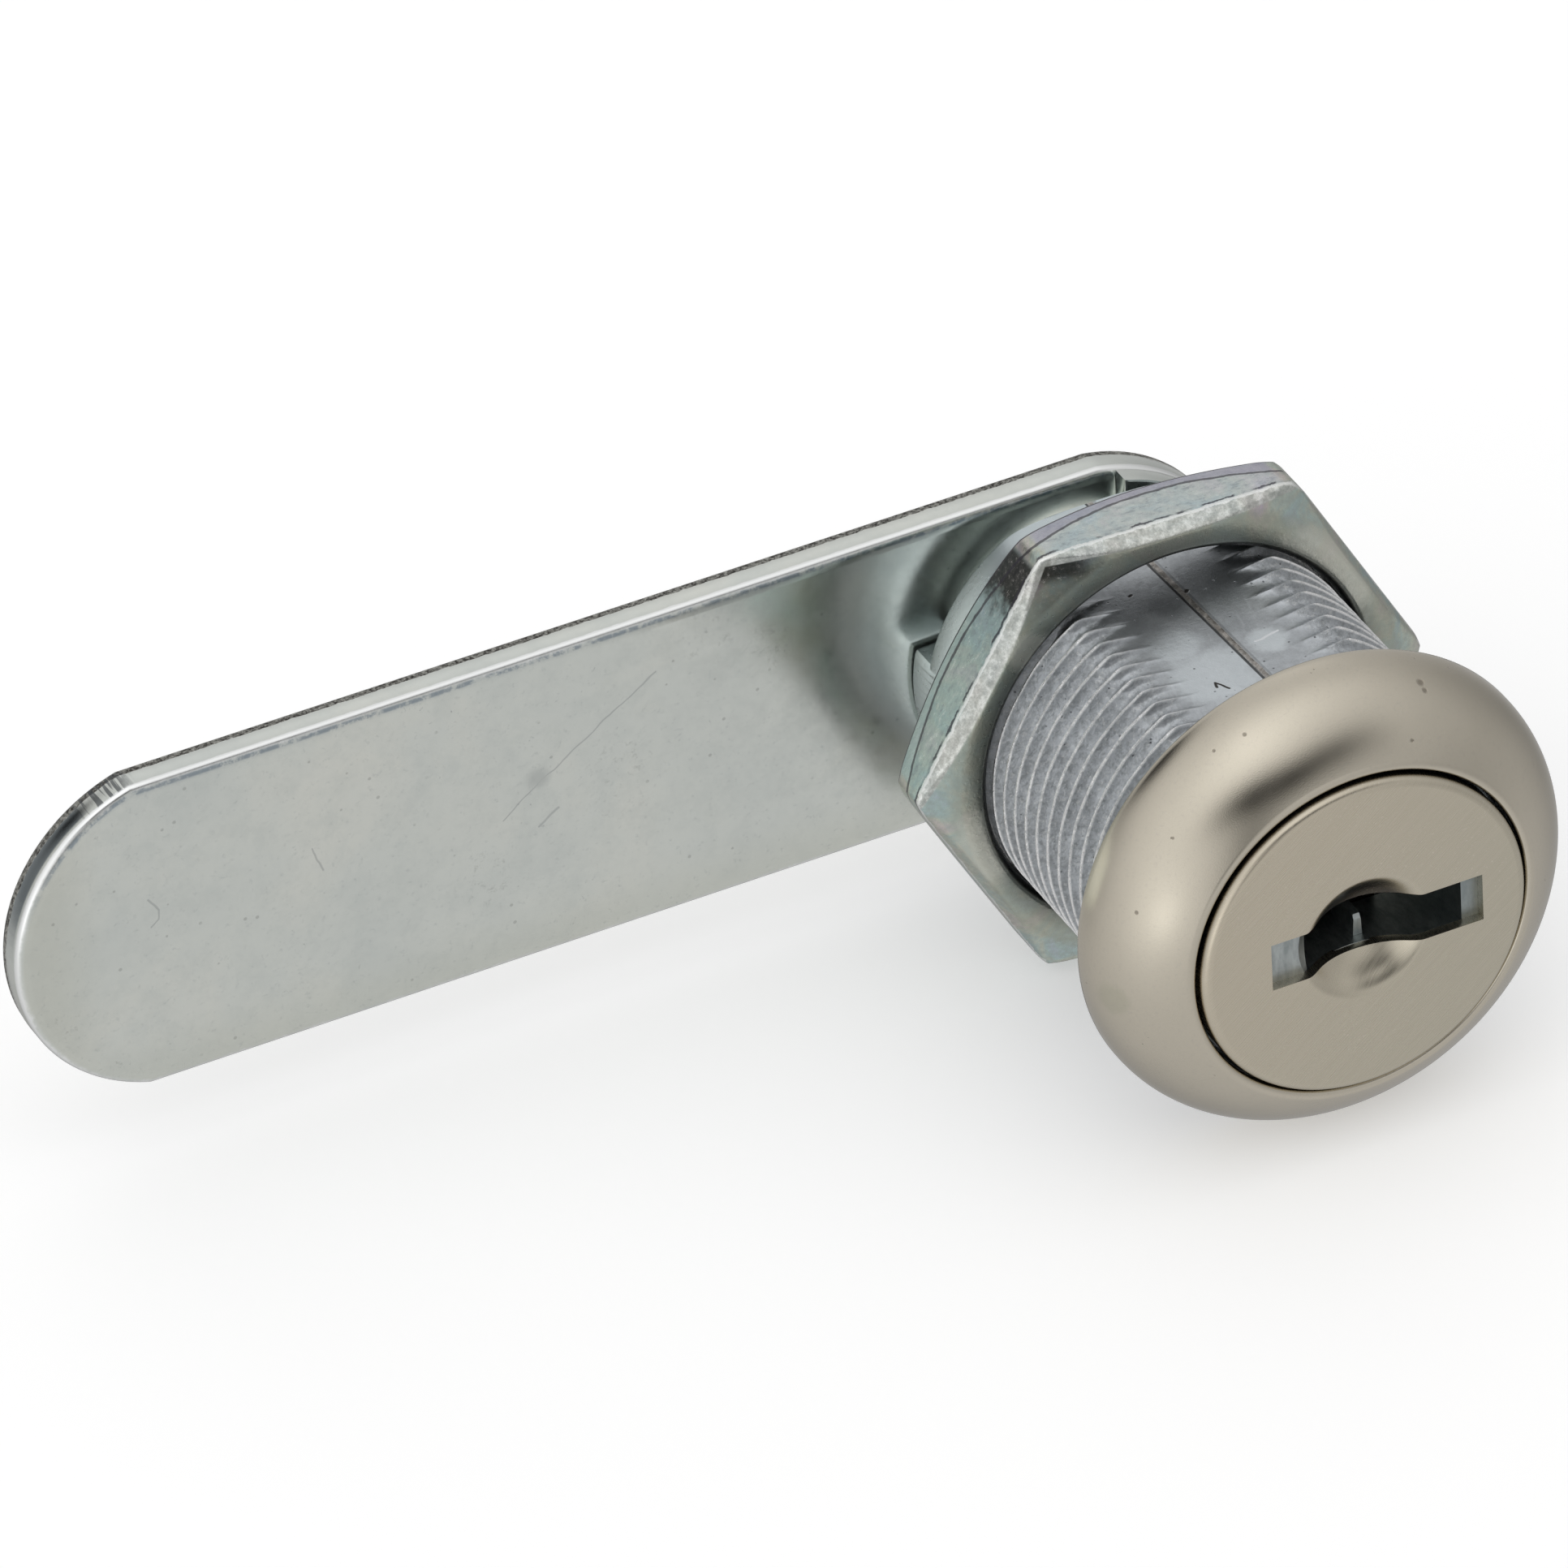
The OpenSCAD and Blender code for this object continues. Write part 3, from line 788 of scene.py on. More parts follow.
# Scratches on the cam's face: start and end in x and z, and width
CAM_SCRATCHES = [
    ((-28.6, -0.1), (-26.3, 1.5), 0.045),
    ((-26.3, 1.5), (-20.8, 5.1), 0.065),
    ((-26.9, -1.1), (-25.9, -0.5), 0.09),
    ((-45.8, 1.86), (-45.3, 1.17), 0.07),
    ((-45.3, 1.17), (-45.34, 0.7), 0.07),
    ((-45.34, 0.7), (-45.75, 0.42), 0.06),
    ((-37.8, 1.7), (-37.4, 0.4), 0.06),
]

# Scuffed places on the cam's face: x, z and reach
CAM_SCUFFS = [(-22.6, 0.2, 2.2), (-29.5, -3.0, 1.9), (-18.2, 6.2, 1.6),
              (-15.2, 4.6, 1.6), (-50.2, -4.0, 1.7), (-48.2, -6.6, 1.2)]


def plated_plate(name, cam=False):
    """Bright zinc plate on flat stampings. The cam's is worn too."""
    s = Shader(name)
    clouds = s.noise(0.11, 4, 0.6, 0.5)
    s.colour = s.ramp(clouds, (0.3, (0.69, 0.72, 0.69)), (0.5, (0.735, 0.76, 0.72)),
                      (0.7, (0.78, 0.79, 0.735)))
    mottle = s.noise(0.9, 5, 0.7)
    s.paint((0.60, 0.64, 0.62), s.step(mottle, 0.4, 0.75, 0.0, 0.25))
    marks = s.all_of(s.step(s.noise(2.6, 5, 0.75, 0.4), 0.62, 0.72), s.step(s.noise(0.16, 2), 0.5, 0.62))
    s.paint((0.26, 0.28, 0.29), marks, 0.5)
    rough = s.step(mottle, 0.3, 0.7, 0.19, 0.27)
    normal = s.bump(s.noise(9.0, 3, 0.6), 0.004, 0.4)
    normal = s.bump(s.noise(0.35, 2), 0.05, 0.25, normal)
    if cam:
        scratches = wear_cam_face(s)
        rubble, fracture = light_and_wear_cam_edge(s)
        rough = s.plus(rough, s.all_of(fracture, 0.25))
        normal = s.bump(s.all_of(rubble, fracture), 0.12, 1.0, normal)
        normal = s.bump(s.outside(scratches), 0.012, 0.6, normal)
    return s.out(rough, normal)


def wear_cam_face(s):
    """Darker, yellower towards the bottom and the tip, and scratches, scuffs and pores on the cam's front."""
    front = s.fall(s.y, CAM_AT + 0.02, CAM_AT + 0.06)
    s.paint((0.64, 0.655, 0.585), s.step(s.z, -8.0, -4.5, 0.5, 0.0), front)
    s.paint((0.64, 0.65, 0.58), s.step(s.x, -51.0, -47.5, 0.6, 0.0), front)
    scratches = s.any_of(*[s.scratch(*line) for line in CAM_SCRATCHES])
    smudge = s.near((-26.8, CAM_AT, 1.5), 0.5, 0.6)
    scratches = s.all_of(s.any_of(scratches, s.all_of(smudge, 0.8)), front)
    s.paint((0.24, 0.26, 0.27), scratches, 0.34)
    crumbs = s.step(s.noise(2.2, 5, 0.8), 0.56, 0.66)
    scuffed = s.any_of(*[s.near((x, CAM_AT, z), reach) for x, z, reach in CAM_SCUFFS])
    spots = s.all_of(s.fall(s.cells(0.9), 0.06, 0.1), s.step(s.noise(0.35, 1), 0.45, 0.55))
    spots = s.any_of(s.all_of(crumbs, scuffed, 0.7), spots)
    s.paint((0.27, 0.28, 0.26), spots, front, 0.36)
    s.paint((0.42, 0.45, 0.45), s.step(s.noise(3.0, 5, 0.8), 0.56, 0.68, 0.0, 0.26), front)
    return scratches


def light_and_wear_cam_edge(s):
    """The cam's edge: a painted highlight on the rolled front, with shade above, a painted dark reflection on
    the wall at the tip, and a torn band behind it.

    Gives the band's rubble and its mask.
    """
    torn = s.noise(1.0, 3, 0.7, place=s.stretch((1.6, 0.4, 1.6)))
    ragged = s.plus(s.y, s.all_of(torn, 0.14))
    # Painted highlight on the rolled front.
    s.paint((0.98, 0.99, 0.99), s.band(ragged, CAM_AT + 0.28, 0.17), 0.85)
    # Painted shade above the rolled front.
    shade = s.all_of(s.step(s.y, CAM_AT + 0.003, CAM_AT + 0.03),
                     s.fall(s.y, CAM_AT + 0.05, CAM_AT + 0.1), s.step(s.z, 2.0, 6.5))
    s.paint((0.30, 0.35, 0.39), shade, s.step(s.noise(1.6, 4, 0.75), 0.38, 0.58, 0.15, 0.9))

    before_rear = s.fall(s.y, CAM_AT + CAM_T - 0.05, CAM_AT + CAM_T - 0.01)
    # Painted dark reflection on the wall at the tip.
    tip_dark_reflection = s.all_of(before_rear, s.step(s.y, CAM_AT + 0.4, CAM_AT + 0.55),
                        s.fall(s.x, -48.6, -47.8),
                        s.step(s.plus(s.z, s.all_of(torn, 1.5)), 1.0, 4.5))
    s.paint((0.15, 0.18, 0.20), tip_dark_reflection, 0.85)
    behind = s.step(s.plus(s.y, s.all_of(torn, 0.3)), CAM_AT + 1.32, CAM_AT + 1.38)
    fracture = s.all_of(behind, before_rear)
    rubble = s.noise(5.0, 5, 0.8)
    s.paint(s.ramp(rubble, (0.42, (0.05, 0.045, 0.04)), (0.60, (0.52, 0.52, 0.48))), fracture)
    lines = s.noise(1.0, 2, 0.6, place=s.stretch((5.0, 0.3, 5.0)))
    corner = s.all_of(s.near((-47.3, CAM_AT + 0.9, 7.6), 1.3), s.step(lines, 0.44, 0.54),
                      s.step(s.y, CAM_AT + 0.25, CAM_AT + 0.35), before_rear)
    s.paint((0.10, 0.11, 0.12), corner, 0.8)
    return rubble, fracture


# ---- tumblers ----

def stamped_brass():
    """The wafers: dull, with fine lines from stamping."""
    s = Shader("stamped_brass")
    clouds = s.noise(0.8, 4, 0.6)
    s.colour = s.ramp(clouds, (0.3, (0.25, 0.245, 0.225)), (0.7, (0.36, 0.35, 0.32)))
    lines = s.noise(1.0, 3, 0.6, place=s.stretch((18.0, 1.5, 1.0)))
    return s.out(s.step(lines, 0.3, 0.7, 0.22, 0.38), s.bump(lines, 0.006, 0.4))


def drawn_steel():
    """The springs and the split washer."""
    s = Shader("drawn_steel")
    clouds = s.noise(1.4, 4, 0.6)
    s.colour = s.ramp(clouds, (0.3, (0.30, 0.31, 0.32)), (0.7, (0.50, 0.51, 0.52)))
    rubbed = s.noise(6.0, 3, 0.7)
    return s.out(s.step(rubbed, 0.3, 0.7, 0.24, 0.42), s.bump(rubbed, 0.01, 0.4))


# ---- body ----

# Degrees round the body where its section is sampled, closer together at the flats' corners
QUARTER = [2.5 * i for i in range(20)] + [50 + 0.8 * i for i in range(25)] + [71 + 2 * i for i in range(10)]
HALF_ROUND = QUARTER + [90] + [180 - angle for angle in reversed(QUARTER[1:])]
ROUND = HALF_ROUND + [180 + angle for angle in HALF_ROUND]

# Phases of one pitch where the thread is sampled, closer together at its crest
PHASES = [0.0, 0.14, 0.26, 0.35, 0.41, 0.445, 0.47, 0.53, 0.555, 0.59, 0.65, 0.74, 0.86]


def soft_min(a, b, blend):
    """The smaller of two lengths, rounded over where they are within blend of each other."""
    near = max(blend - abs(a - b), 0.0) / blend
    return min(a, b) - near * near * blend / 4


def section(radius, y, height=0.0):
    """The double-D section at a radius. height is how far up the thread it is, from root to crest.

    Where the thread meets a flat it lifts towards the crest's radius and runs out in a small ridge, which
    differs between the two sides of the flat, as in the photo.
    """
    points = []
    for angle in ROUND:
        t = math.radians(angle)
        across, up = math.cos(t), math.sin(t)
        left = across < 0
        rough = height * noise.noise(Vector((6.2 * across, y * 3.4, 6.2 * up)))
        threaded = radius > ROOT_R - 0.01
        lift = min(max((abs(up) - 0.76) / 0.1, 0.0), 1.0) if threaded else 0.0
        reach = radius + (CREST_R - radius) * lift * (0.62 if left else 0.55) + 0.014 * rough
        if abs(up) > 0.5:
            slope = DIP_SLOPE * height ** (2.0 if left else 1.3)
            ridge = (FLAT_Z - slope * DIP_HALF) / (abs(up) - slope * abs(across))
            reach = soft_min(reach, max(FLAT_Z / abs(up), ridge), 0.7 - 0.45 * height)
        points.append(mm(reach * across, y + 0.035 * rough, reach * up))
    return points


def thread_height(phase):
    """Height of the thread at a phase of its pitch, from 0 in the root to 1 on the narrow crest."""
    away = abs(phase - 0.5) * 2
    return 1.0 if away < 0.07 else (1 - (away - 0.07) / 0.93) ** 2.3


def thread_rings():
    """Sections from one end of the thread to the other, several to a pitch."""
    rings = []
    y = FIRST_CREST - PITCH / 2
    while y < THREAD_END:
        for phase in PHASES:
            at = y + phase * PITCH
            if 0.05 < at < THREAD_END - 0.05:
                height = thread_height(phase)
                rings.append(section(ROOT_R + height * (CREST_R - ROOT_R), at, height))
        y += PITCH
    return rings


def body_skin():
    """The threaded double-D body, with the flange under the head and the bore."""
    mouth = OPENING_R + 0.05
    flange = [(mouth, -4.6), (10.3, -3.4), (FLANGE_R, -1.0), (FLANGE_R, 0.0), (SEAT_R, 0.0),
              (SEAT_R, -SEAT_RELIEF)]
    neck = [(NECK_R + 0.02, THREAD_END + 0.2), (NECK_R, THREAD_END + 0.35), (NECK_R, 18.6),
            (NECK_R, BODY_END - 0.18), (NECK_R - 0.06, BODY_END - 0.05), (NECK_R - 0.2, BODY_END)]
    bore = [(BORE_R + 0.25, BODY_END), (BORE_R, BODY_END - 0.25), (BORE_R, FLANGE_BACK), (mouth, FLANGE_BACK)]
    turns = [math.radians(angle) for angle in ROUND]
    rings = [turned(r, y, turns) for r, y in flange]
    rings += [section(ROOT_R, -SEAT_RELIEF)]
    rings += thread_rings()
    rings += [section(ROOT_R, THREAD_END)]
    rings += [section(r, y) for r, y in neck]
    rings += [turned(r, y, turns) for r, y in bore]
    return add_mesh("lock_body", *loft(rings, wrap=True), 26)


def stop_wall():
    """The half ring behind the body that stops the cam's turn, with its upper corner rounded."""
    top, foot, inner_top = 13.6, 70.2, 17.6
    left = arc(0, 0, NECK_R, 180 - top, 180 + foot, 40)
    right = arc(0, 0, NECK_R, 360 - foot, 360 - top, 22)
    inner_right = arc(0, 0, WALL_BORE_R, 360 - inner_top, 270, 22)
    inner_left = arc(0, 0, WALL_BORE_R, 270, 180 - inner_top, 34)
    corner_x, corner_z = WALL_CORNER - NECK_R, 1.4
    outline = []
    for x, z in left + right + inner_right + inner_left[1:]:
        away = math.hypot(x - corner_x, z - corner_z)
        if x < corner_x and z > corner_z and away > WALL_CORNER:
            x = corner_x + (x - corner_x) * WALL_CORNER / away
            z = corner_z + (z - corner_z) * WALL_CORNER / away
        outline.append((x, max(z, -FLAT_Z)))
    levels = [(0.0, BODY_END - 0.3), (0.0, STOP_END - 0.22), (0.05, STOP_END - 0.08), (0.2, STOP_END)]
    return plate("stop_wall", outline, levels, sharp=34)


def parting_line(name, side):
    """The thin rough ridge that the two halves of the mould leave along a flat, slightly askew."""
    rings = []
    steps = 120
    for i in range(steps + 1):
        y = 0.1 + (BODY_END - 0.3) * i / steps
        wander = noise.noise(Vector((y * 0.9, 3.1 * side, 0.0))) * 0.03
        rough = noise.noise(Vector((y * 3.7, 7.7 * side, 1.0)))
        half = 0.17 + 0.03 * rough
        height = 0.045 + 0.035 * noise.noise(Vector((y * 2.3, 1.7, 5.0 * side)))
        centre = PARTING_X - PARTING_SLOPE * y + wander
        across = [(-half, -0.04), (-half * 0.75, height * 0.8), (half * 0.5, height * 1.1), (half, -0.04)]
        rings.append([mm(centre + x, y, side * (FLAT_Z + z)) for x, z in across])
    return add_mesh(name, *loft(rings, capped=True), 50)


def build_body(zinc):
    """The body and its stop wall as one piece, with grooves for the tumblers cut in its bore."""
    body = body_skin()
    cut(body, stop_wall(), "UNION")
    for half_x, half_z in ((GROOVE_R, GROOVE_HALF), (GROOVE_HALF, GROOVE_R)):
        low, high = (-half_x, GROOVE_FROM, -half_z), (half_x, GROOVE_TO, half_z)
        cut(body, block("tumbler_groove", low, high))
    tidy_mesh(body, 26)
    finish_piece(body, "body", zinc, "zinc_cast", "housing")
    for name, side in (("parting_line_top", 1), ("parting_line_bottom", -1)):
        finish_piece(parting_line(name, side), "body", zinc, "zinc_cast")


# ---- head ----

def dome_arc(a, b, end_r, steps):
    """The head's elliptic profile, from its rim to a radius at its front."""
    last = math.acos((end_r - DOME_R0) / a)
    turns = [last * i / steps for i in range(steps + 1)]
    return [(DOME_R0 + a * math.cos(t), -DOME_BASE - b * math.sin(t)) for t in turns]


def build_head(nickel):
    """The domed skin, turned in at its front round the cap and at its rim round the flange."""
    dome = dome_arc(DOME_A, DOME_B, OPENING_R + 0.3, 44)
    end_y = dome[-1][1]
    lip = [(LIP_R + 0.14, end_y - 0.015), (LIP_R + 0.04, end_y + 0.05), (LIP_R, end_y + 0.16),
           (LIP_R, end_y + 0.5)]
    inner = dome_arc(DOME_A - SKIN, DOME_B - SKIN, OPENING_R + 0.02, 12)[::-1]
    rim_r = DOME_R0 + DOME_A
    rim = [(rim_r - SKIN + 0.02, -0.17), (rim_r - 0.25, -0.15), (rim_r - 0.08, -0.2), (rim_r, -0.35)]
    head = revolve("head_skin", dome + lip + inner + rim, 256, 40)
    finish_piece(head, "body", nickel, "satin_nickel", "head_trim")


# ---- face cap ----

def build_cap(nickel):
    """A shallow drawn cup with a pressed dimple, and the slot cut through both."""
    thick = 0.5
    soft = 0.42
    flat_from = DIMPLE_R + 0.8
    ball = (DIMPLE_R ** 2 + DIMPLE_DEPTH ** 2) / (2 * DIMPLE_DEPTH)

    def pressed(r):
        """Depth of the dimple at a radius: part of a ball, with its rim rounded over."""
        deep = math.sqrt(ball ** 2 - r ** 2) - (ball - DIMPLE_DEPTH)
        return -soft_min(-deep, 0.0, 0.4)

    steps = [(DIMPLE_R + 0.5) * i / 44 for i in range(45)]
    dish = [(r, -FACE_FRONT + pressed(r)) for r in steps]
    rim = [(flat_from, -FACE_FRONT)]
    shoulder = [(CAP_R - soft + soft * math.sin(t), -FACE_FRONT + soft - soft * math.cos(t))
                for t in [math.radians(d) for d in range(0, 91, 15)]]
    skirt = [(CAP_R, -FACE_FRONT + CAP_SKIRT), (CAP_R - thick, -FACE_FRONT + CAP_SKIRT)]
    back_y = -FACE_FRONT + thick
    back = [(CAP_R - thick, back_y), (flat_from, back_y)]
    under = [(r, back_y + pressed(r)) for r in reversed(steps[::2])]
    profile = dish + rim + shoulder + skirt + back + under
    cap = revolve("slot_cap", profile, 192, 40, closed=False)
    cut(cap, slot_tool())
    tidy_mesh(cap, 40)
    modify(cap, "BEVEL", width=0.05 * MM, segments=2, limit_method="ANGLE", angle_limit=math.radians(50))
    tidy_mesh(cap, 60)
    flatten_caps(cap, -FACE_FRONT)
    finish_piece(cap, "plug", nickel, "satin_nickel", "face_cap")


def slot_tool():
    """The slot as a cutting tool: straight, and spread a little where it crosses the dimple."""
    lower = []
    for i in range(25):
        x = -DIMPLE_R + 2 * DIMPLE_R * i / 24
        lower.append((x, -SLOT_HALF - SLOT_BULGE * math.cos(math.pi / 2 * x / DIMPLE_R)))
    outline = [(SLOT_LEFT, -SLOT_HALF)] + lower + [(SLOT_RIGHT, -SLOT_HALF)]
    outline += [(x, -z) for x, z in reversed(outline)]
    rings = [[mm(x, y, z) for x, z in outline] for y in (-8, 0)]
    return add_mesh("slot_tool", *loft(rings, capped=True))


def build_keyway_rib(zinc):
    """A guessed ward: one narrow rib on the floor of the key opening."""
    rings = []
    for y, drop in ((-3.4, 0.25), (-3.3, 0.06), (-3.1, 0.0), (-1.4, 0.0)):
        outline = fillet([(0.35, -1.34), (0.8, -1.34), (0.75, -0.2 - drop), (0.4, -0.2 - drop)],
                         [0.0, 0.0, 0.06, 0.06])
        rings.append([mm(x, y, z) for x, z in outline])
    rib = add_mesh("keyway_rib", *loft(rings, capped=True), 40)
    finish_piece(rib, "plug", zinc, "zinc_cast")


# ---- nut ----

def nut_angles():
    """Angles round the nut, closer together at its corners."""
    angles = []
    for k in range(6):
        for i in range(48):
            t = -1 + 2 * i / 48
            angles.append(math.radians(60 * k + 30 + 30 * math.copysign(abs(t) ** 0.75, t)))
    return angles


def hex_radius(t, less=0.0):
    """Distance from the axis to the hexagon's side, with its corners rounded."""
    off = abs((math.degrees(t) % 60) - 30)
    straight = (NUT_INRADIUS - less) / math.cos(math.radians(off))
    near = max(0.0, 1 - (30 - off) / 4.5)
    return straight - 0.16 * near ** 2


def soft_max(a, b, blend=0.06):
    """The greater of two lengths, with a soft change between them."""
    return 0.5 * (a + b + math.sqrt((a - b) ** 2 + blend * blend))


def nut_front(r, t):
    """How far the nut's front falls back: flat, then coned at the corners and bevelled along the sides."""
    off = math.radians(abs((math.degrees(t) % 60) - 30))
    cone = (r - NUT_FACE_R) * 0.4
    bevel = BEVEL_H - (hex_radius(t) - r) * math.cos(off) * BEVEL_H / BEVEL_W
    return soft_max(soft_max(0.0, cone), bevel)


def nut_back(r):
    """Depth of the nut's rear face, which slopes forwards at the corners."""
    return NUT_T - max(0.0, (r - NUT_BACK_R) * NUT_BACK_SLOPE)


# Where the nut's front is sampled, as shares of the way from its bore to its sides, closer at the bevels
FRONT_SHARES = (0.0, 0.2, 0.35, 0.48, 0.58, 0.66, 0.73, 0.79, 0.84, 0.885, 0.92, 0.95, 0.975, 0.99)


def build_nut(plating):
    """A thin hexagon with bevelled front sides, coned corners and a countersunk bore."""
    angles = nut_angles()
    turn = math.radians(NUT_TURN)

    def ring(radius, depth):
        points = []
        for t in angles:
            r = radius(t)
            points.append(mm(r * math.cos(t + turn), NUT_AT + depth(r, t), r * math.sin(t + turn)))
        return points

    def circle(r, y):
        return ring(lambda t: r, lambda r, t: y)

    rings = [circle(NUT_BORE, NUT_T - 0.4), circle(NUT_BORE, 0.36), circle(NUT_BORE + 0.04, 0.27),
             circle(NUT_SINK_R - 0.08, 0.07), circle(NUT_SINK_R, 0.02), circle(NUT_SINK_R + 0.07, 0.0)]
    inner = NUT_SINK_R + 0.25
    for share in FRONT_SHARES:
        rings.append(ring(lambda t, share=share: inner + (hex_radius(t) - inner) * share, nut_front))
    rings.append(ring(hex_radius, lambda r, t: BEVEL_H + 0.05))
    for less, rise in ((0.0, 1.2), (0.0, 0.16), (0.03, 0.07), (0.09, 0.015)):
        rings.append(ring(lambda t, less=less: hex_radius(t, less),
                          lambda r, t, rise=rise: nut_back(r) - rise))
    rings.append(ring(lambda t: min(hex_radius(t, 0.3), NUT_BACK_R), lambda r, t: nut_back(r)))
    rings.append(circle(NUT_BORE + 0.45, NUT_T))
    nut = add_mesh("thin_hex_nut", *loft(rings, wrap=True), 40)
    finish_piece(nut, "nut", plating, "zinc_plated", "hex_nut")


# ---- behind the body ----

def square_hole(half):
    return [(-half, -half), (half, -half), (half, half), (-half, half)]


def build_stop_washer(plating):
    """A round hub and a lug, whose two edges stop the turn against the ends of the stop wall."""
    lug_top = math.degrees(math.acos(LUG_EDGE / LUG_R))
    lug_low = math.degrees(math.asin(LUG_LOW / LUG_R))
    hub_from = math.degrees(math.acos(LUG_EDGE / HUB_R))
    hub_to = math.degrees(math.asin(LUG_LOW / HUB_R)) + 360
    outline = arc(0, 0, LUG_R, lug_low, lug_top, 40) + arc(0, 0, HUB_R, hub_from, hub_to, 96)
    levels = [(0.14, 0), (0.05, 0.03), (0.0, 0.14), (0.0, 0.86), (0.05, 0.97), (0.14, 1.0)]
    levels = [(d, WASHER_AT + y) for d, y in levels]
    washer = plate("quarter_stop_washer", outline, levels, square_hole(TAIL_HALF))
    finish_piece(washer, "plug", plating, "zinc_plated", "stop_washer")


def build_cam(plating):
    """A flat bar, round at the plug and rounded at its tip, with a rolled front edge and a torn rear one."""
    tip_r = (CAM_HALF ** 2 + TIP_ARC ** 2) / (2 * TIP_ARC)
    half_turn = math.degrees(math.asin(CAM_HALF / tip_r))
    straight = CAM_REACH - TIP_ARC
    tip = arc(tip_r - CAM_REACH, 0, tip_r, 180 - half_turn, 180 + half_turn, 72)
    end_turn = math.degrees(math.asin(CAM_HALF / CAM_END_R))
    corner = math.sqrt(CAM_END_R ** 2 - CAM_HALF ** 2)
    round_end = arc(0, 0, CAM_END_R, -end_turn, end_turn, 72)
    side = [-straight + (straight + corner) * i / 40 for i in range(1, 40)]
    lower = [(x, -CAM_HALF) for x in side]
    upper = [(x, CAM_HALF) for x in reversed(side)]
    outline = tip + lower + round_end + upper
    roll = [(0.62, 0.0), (0.42, 0.012), (0.26, 0.045), (0.12, 0.11), (0.04, 0.2), (0.0, 0.32)]
    wall = [(0.0, 0.8), (0.0, 1.16), (0.015, 1.2), (0.03, 1.5), (0.06, CAM_T)]
    levels = [(d, CAM_AT + y) for d, y in roll + wall]
    cam = plate("flat_cam", outline, levels, square_hole(TAIL_HALF))
    finish_piece(cam, "plug", plating, "zinc_plated", "cam")


def build_fasteners(plating, steel):
    """The flat washer, the split spring washer and the screw, one on another behind the cam."""
    washer_at = CAM_AT + CAM_T
    split_at = washer_at + FLAT_WASHER_T
    head_at = split_at + SPLIT_T
    build_flat_washer(plating, washer_at, split_at)
    build_split_washer(steel, split_at, head_at)
    build_screw(plating, head_at)


def build_flat_washer(plating, front, rear):
    corners = [(WASHER_BORE_R, front), (FLAT_WASHER_R, front), (FLAT_WASHER_R, rear), (WASHER_BORE_R, rear)]
    washer = revolve("flat_washer", fillet(corners, [0.08, 0.22, 0.22, 0.08]), 128, 40)
    finish_piece(washer, "plug", plating, "zinc_plated", "cam_washer")


def build_split_washer(steel, front, rear):
    corners = [(WASHER_BORE_R, front), (SPLIT_R, front), (SPLIT_R, rear), (WASHER_BORE_R, rear)]
    wire = fillet(corners, [0.12] * 4)
    rings = []
    for i in range(121):
        t = math.radians(SPLIT_AT + SPLIT_GAP / 2 + (360 - SPLIT_GAP) * i / 120)
        rings.append([mm(r * math.cos(t), y, r * math.sin(t)) for r, y in wire])
    split = add_mesh("split_washer", *loft(rings, capped=True), 40)
    finish_piece(split, "plug", steel, "spring_steel", "spring_washer")


def build_screw(plating, seat):
    """A pan head on a plain shank, with a cross recess."""
    top = seat + SCREW_HEAD_T
    flat_r, round_r, rim_t = 2.2, 2.55, 1.2
    shank = [(0.0001, SCREW_FROM), (SCREW_R - 0.5, SCREW_FROM), (SCREW_R, SCREW_FROM + 0.5)]
    crown = []
    for degrees in range(0, 91, 6):
        t = math.radians(degrees)
        crown.append((flat_r + round_r * math.cos(t), seat + rim_t + (SCREW_HEAD_T - rim_t) * math.sin(t)))
    head = [(SCREW_R, seat), (4.6, seat), (4.72, seat + 0.12)] + crown + [(0.0001, top)]
    screw = revolve("pan_head_screw", shank + head, 120, 40, closed=False)
    cut(screw, cross_recess(top))
    modify(screw, "BEVEL", width=0.07 * MM, segments=3, limit_method="ANGLE", angle_limit=math.radians(48))
    tidy_mesh(screw, 55)
    finish_piece(screw, "plug", plating, "zinc_plated", "cam_screw")


def cross_recess(top):
    """The tapered cross that a screwdriver fits, as a cutting tool."""
    tool = None
    for turn in (0, 90):
        rings = []
        for depth, half_l, half_w in ((0.5, 2.75, 0.50), (0.0, 2.6, 0.45), (-1.8, 1.1, 0.28)):
            corners = [(-half_l, -half_w), (half_l, -half_w), (half_l, half_w), (-half_l, half_w)]
            rings.append([mm(x, top + depth, z) for x, z in corners])
        arm = add_mesh(f"recess_{turn}", *loft(rings, capped=True))
        arm.data.transform(Matrix.Rotation(math.radians(turn), 4, "Y"))
        if tool is None:
            tool = arm
        else:
            cut(tool, arm, "UNION")
    return tool


# ---- CAD nodes that keep their shape ----

def dress_cad_nodes(plug_zinc, brass, steel):
    """Materials for the plug, the wafers and their springs, which show their CAD shape."""
    for name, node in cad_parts.items():
        if name == "plug":
            material = plug_zinc
        elif name.startswith("wafer_spring"):
            material = steel
        elif name.startswith("wafer"):
            material = brass
        else:
            continue
        node.data.materials.clear()
        node.data.materials.append(material)


# ---- studio ----

FLOOR_SIZE = 4.0
STUDIO_LEVEL = 0.68
LEAST_LIGHT = 0.03

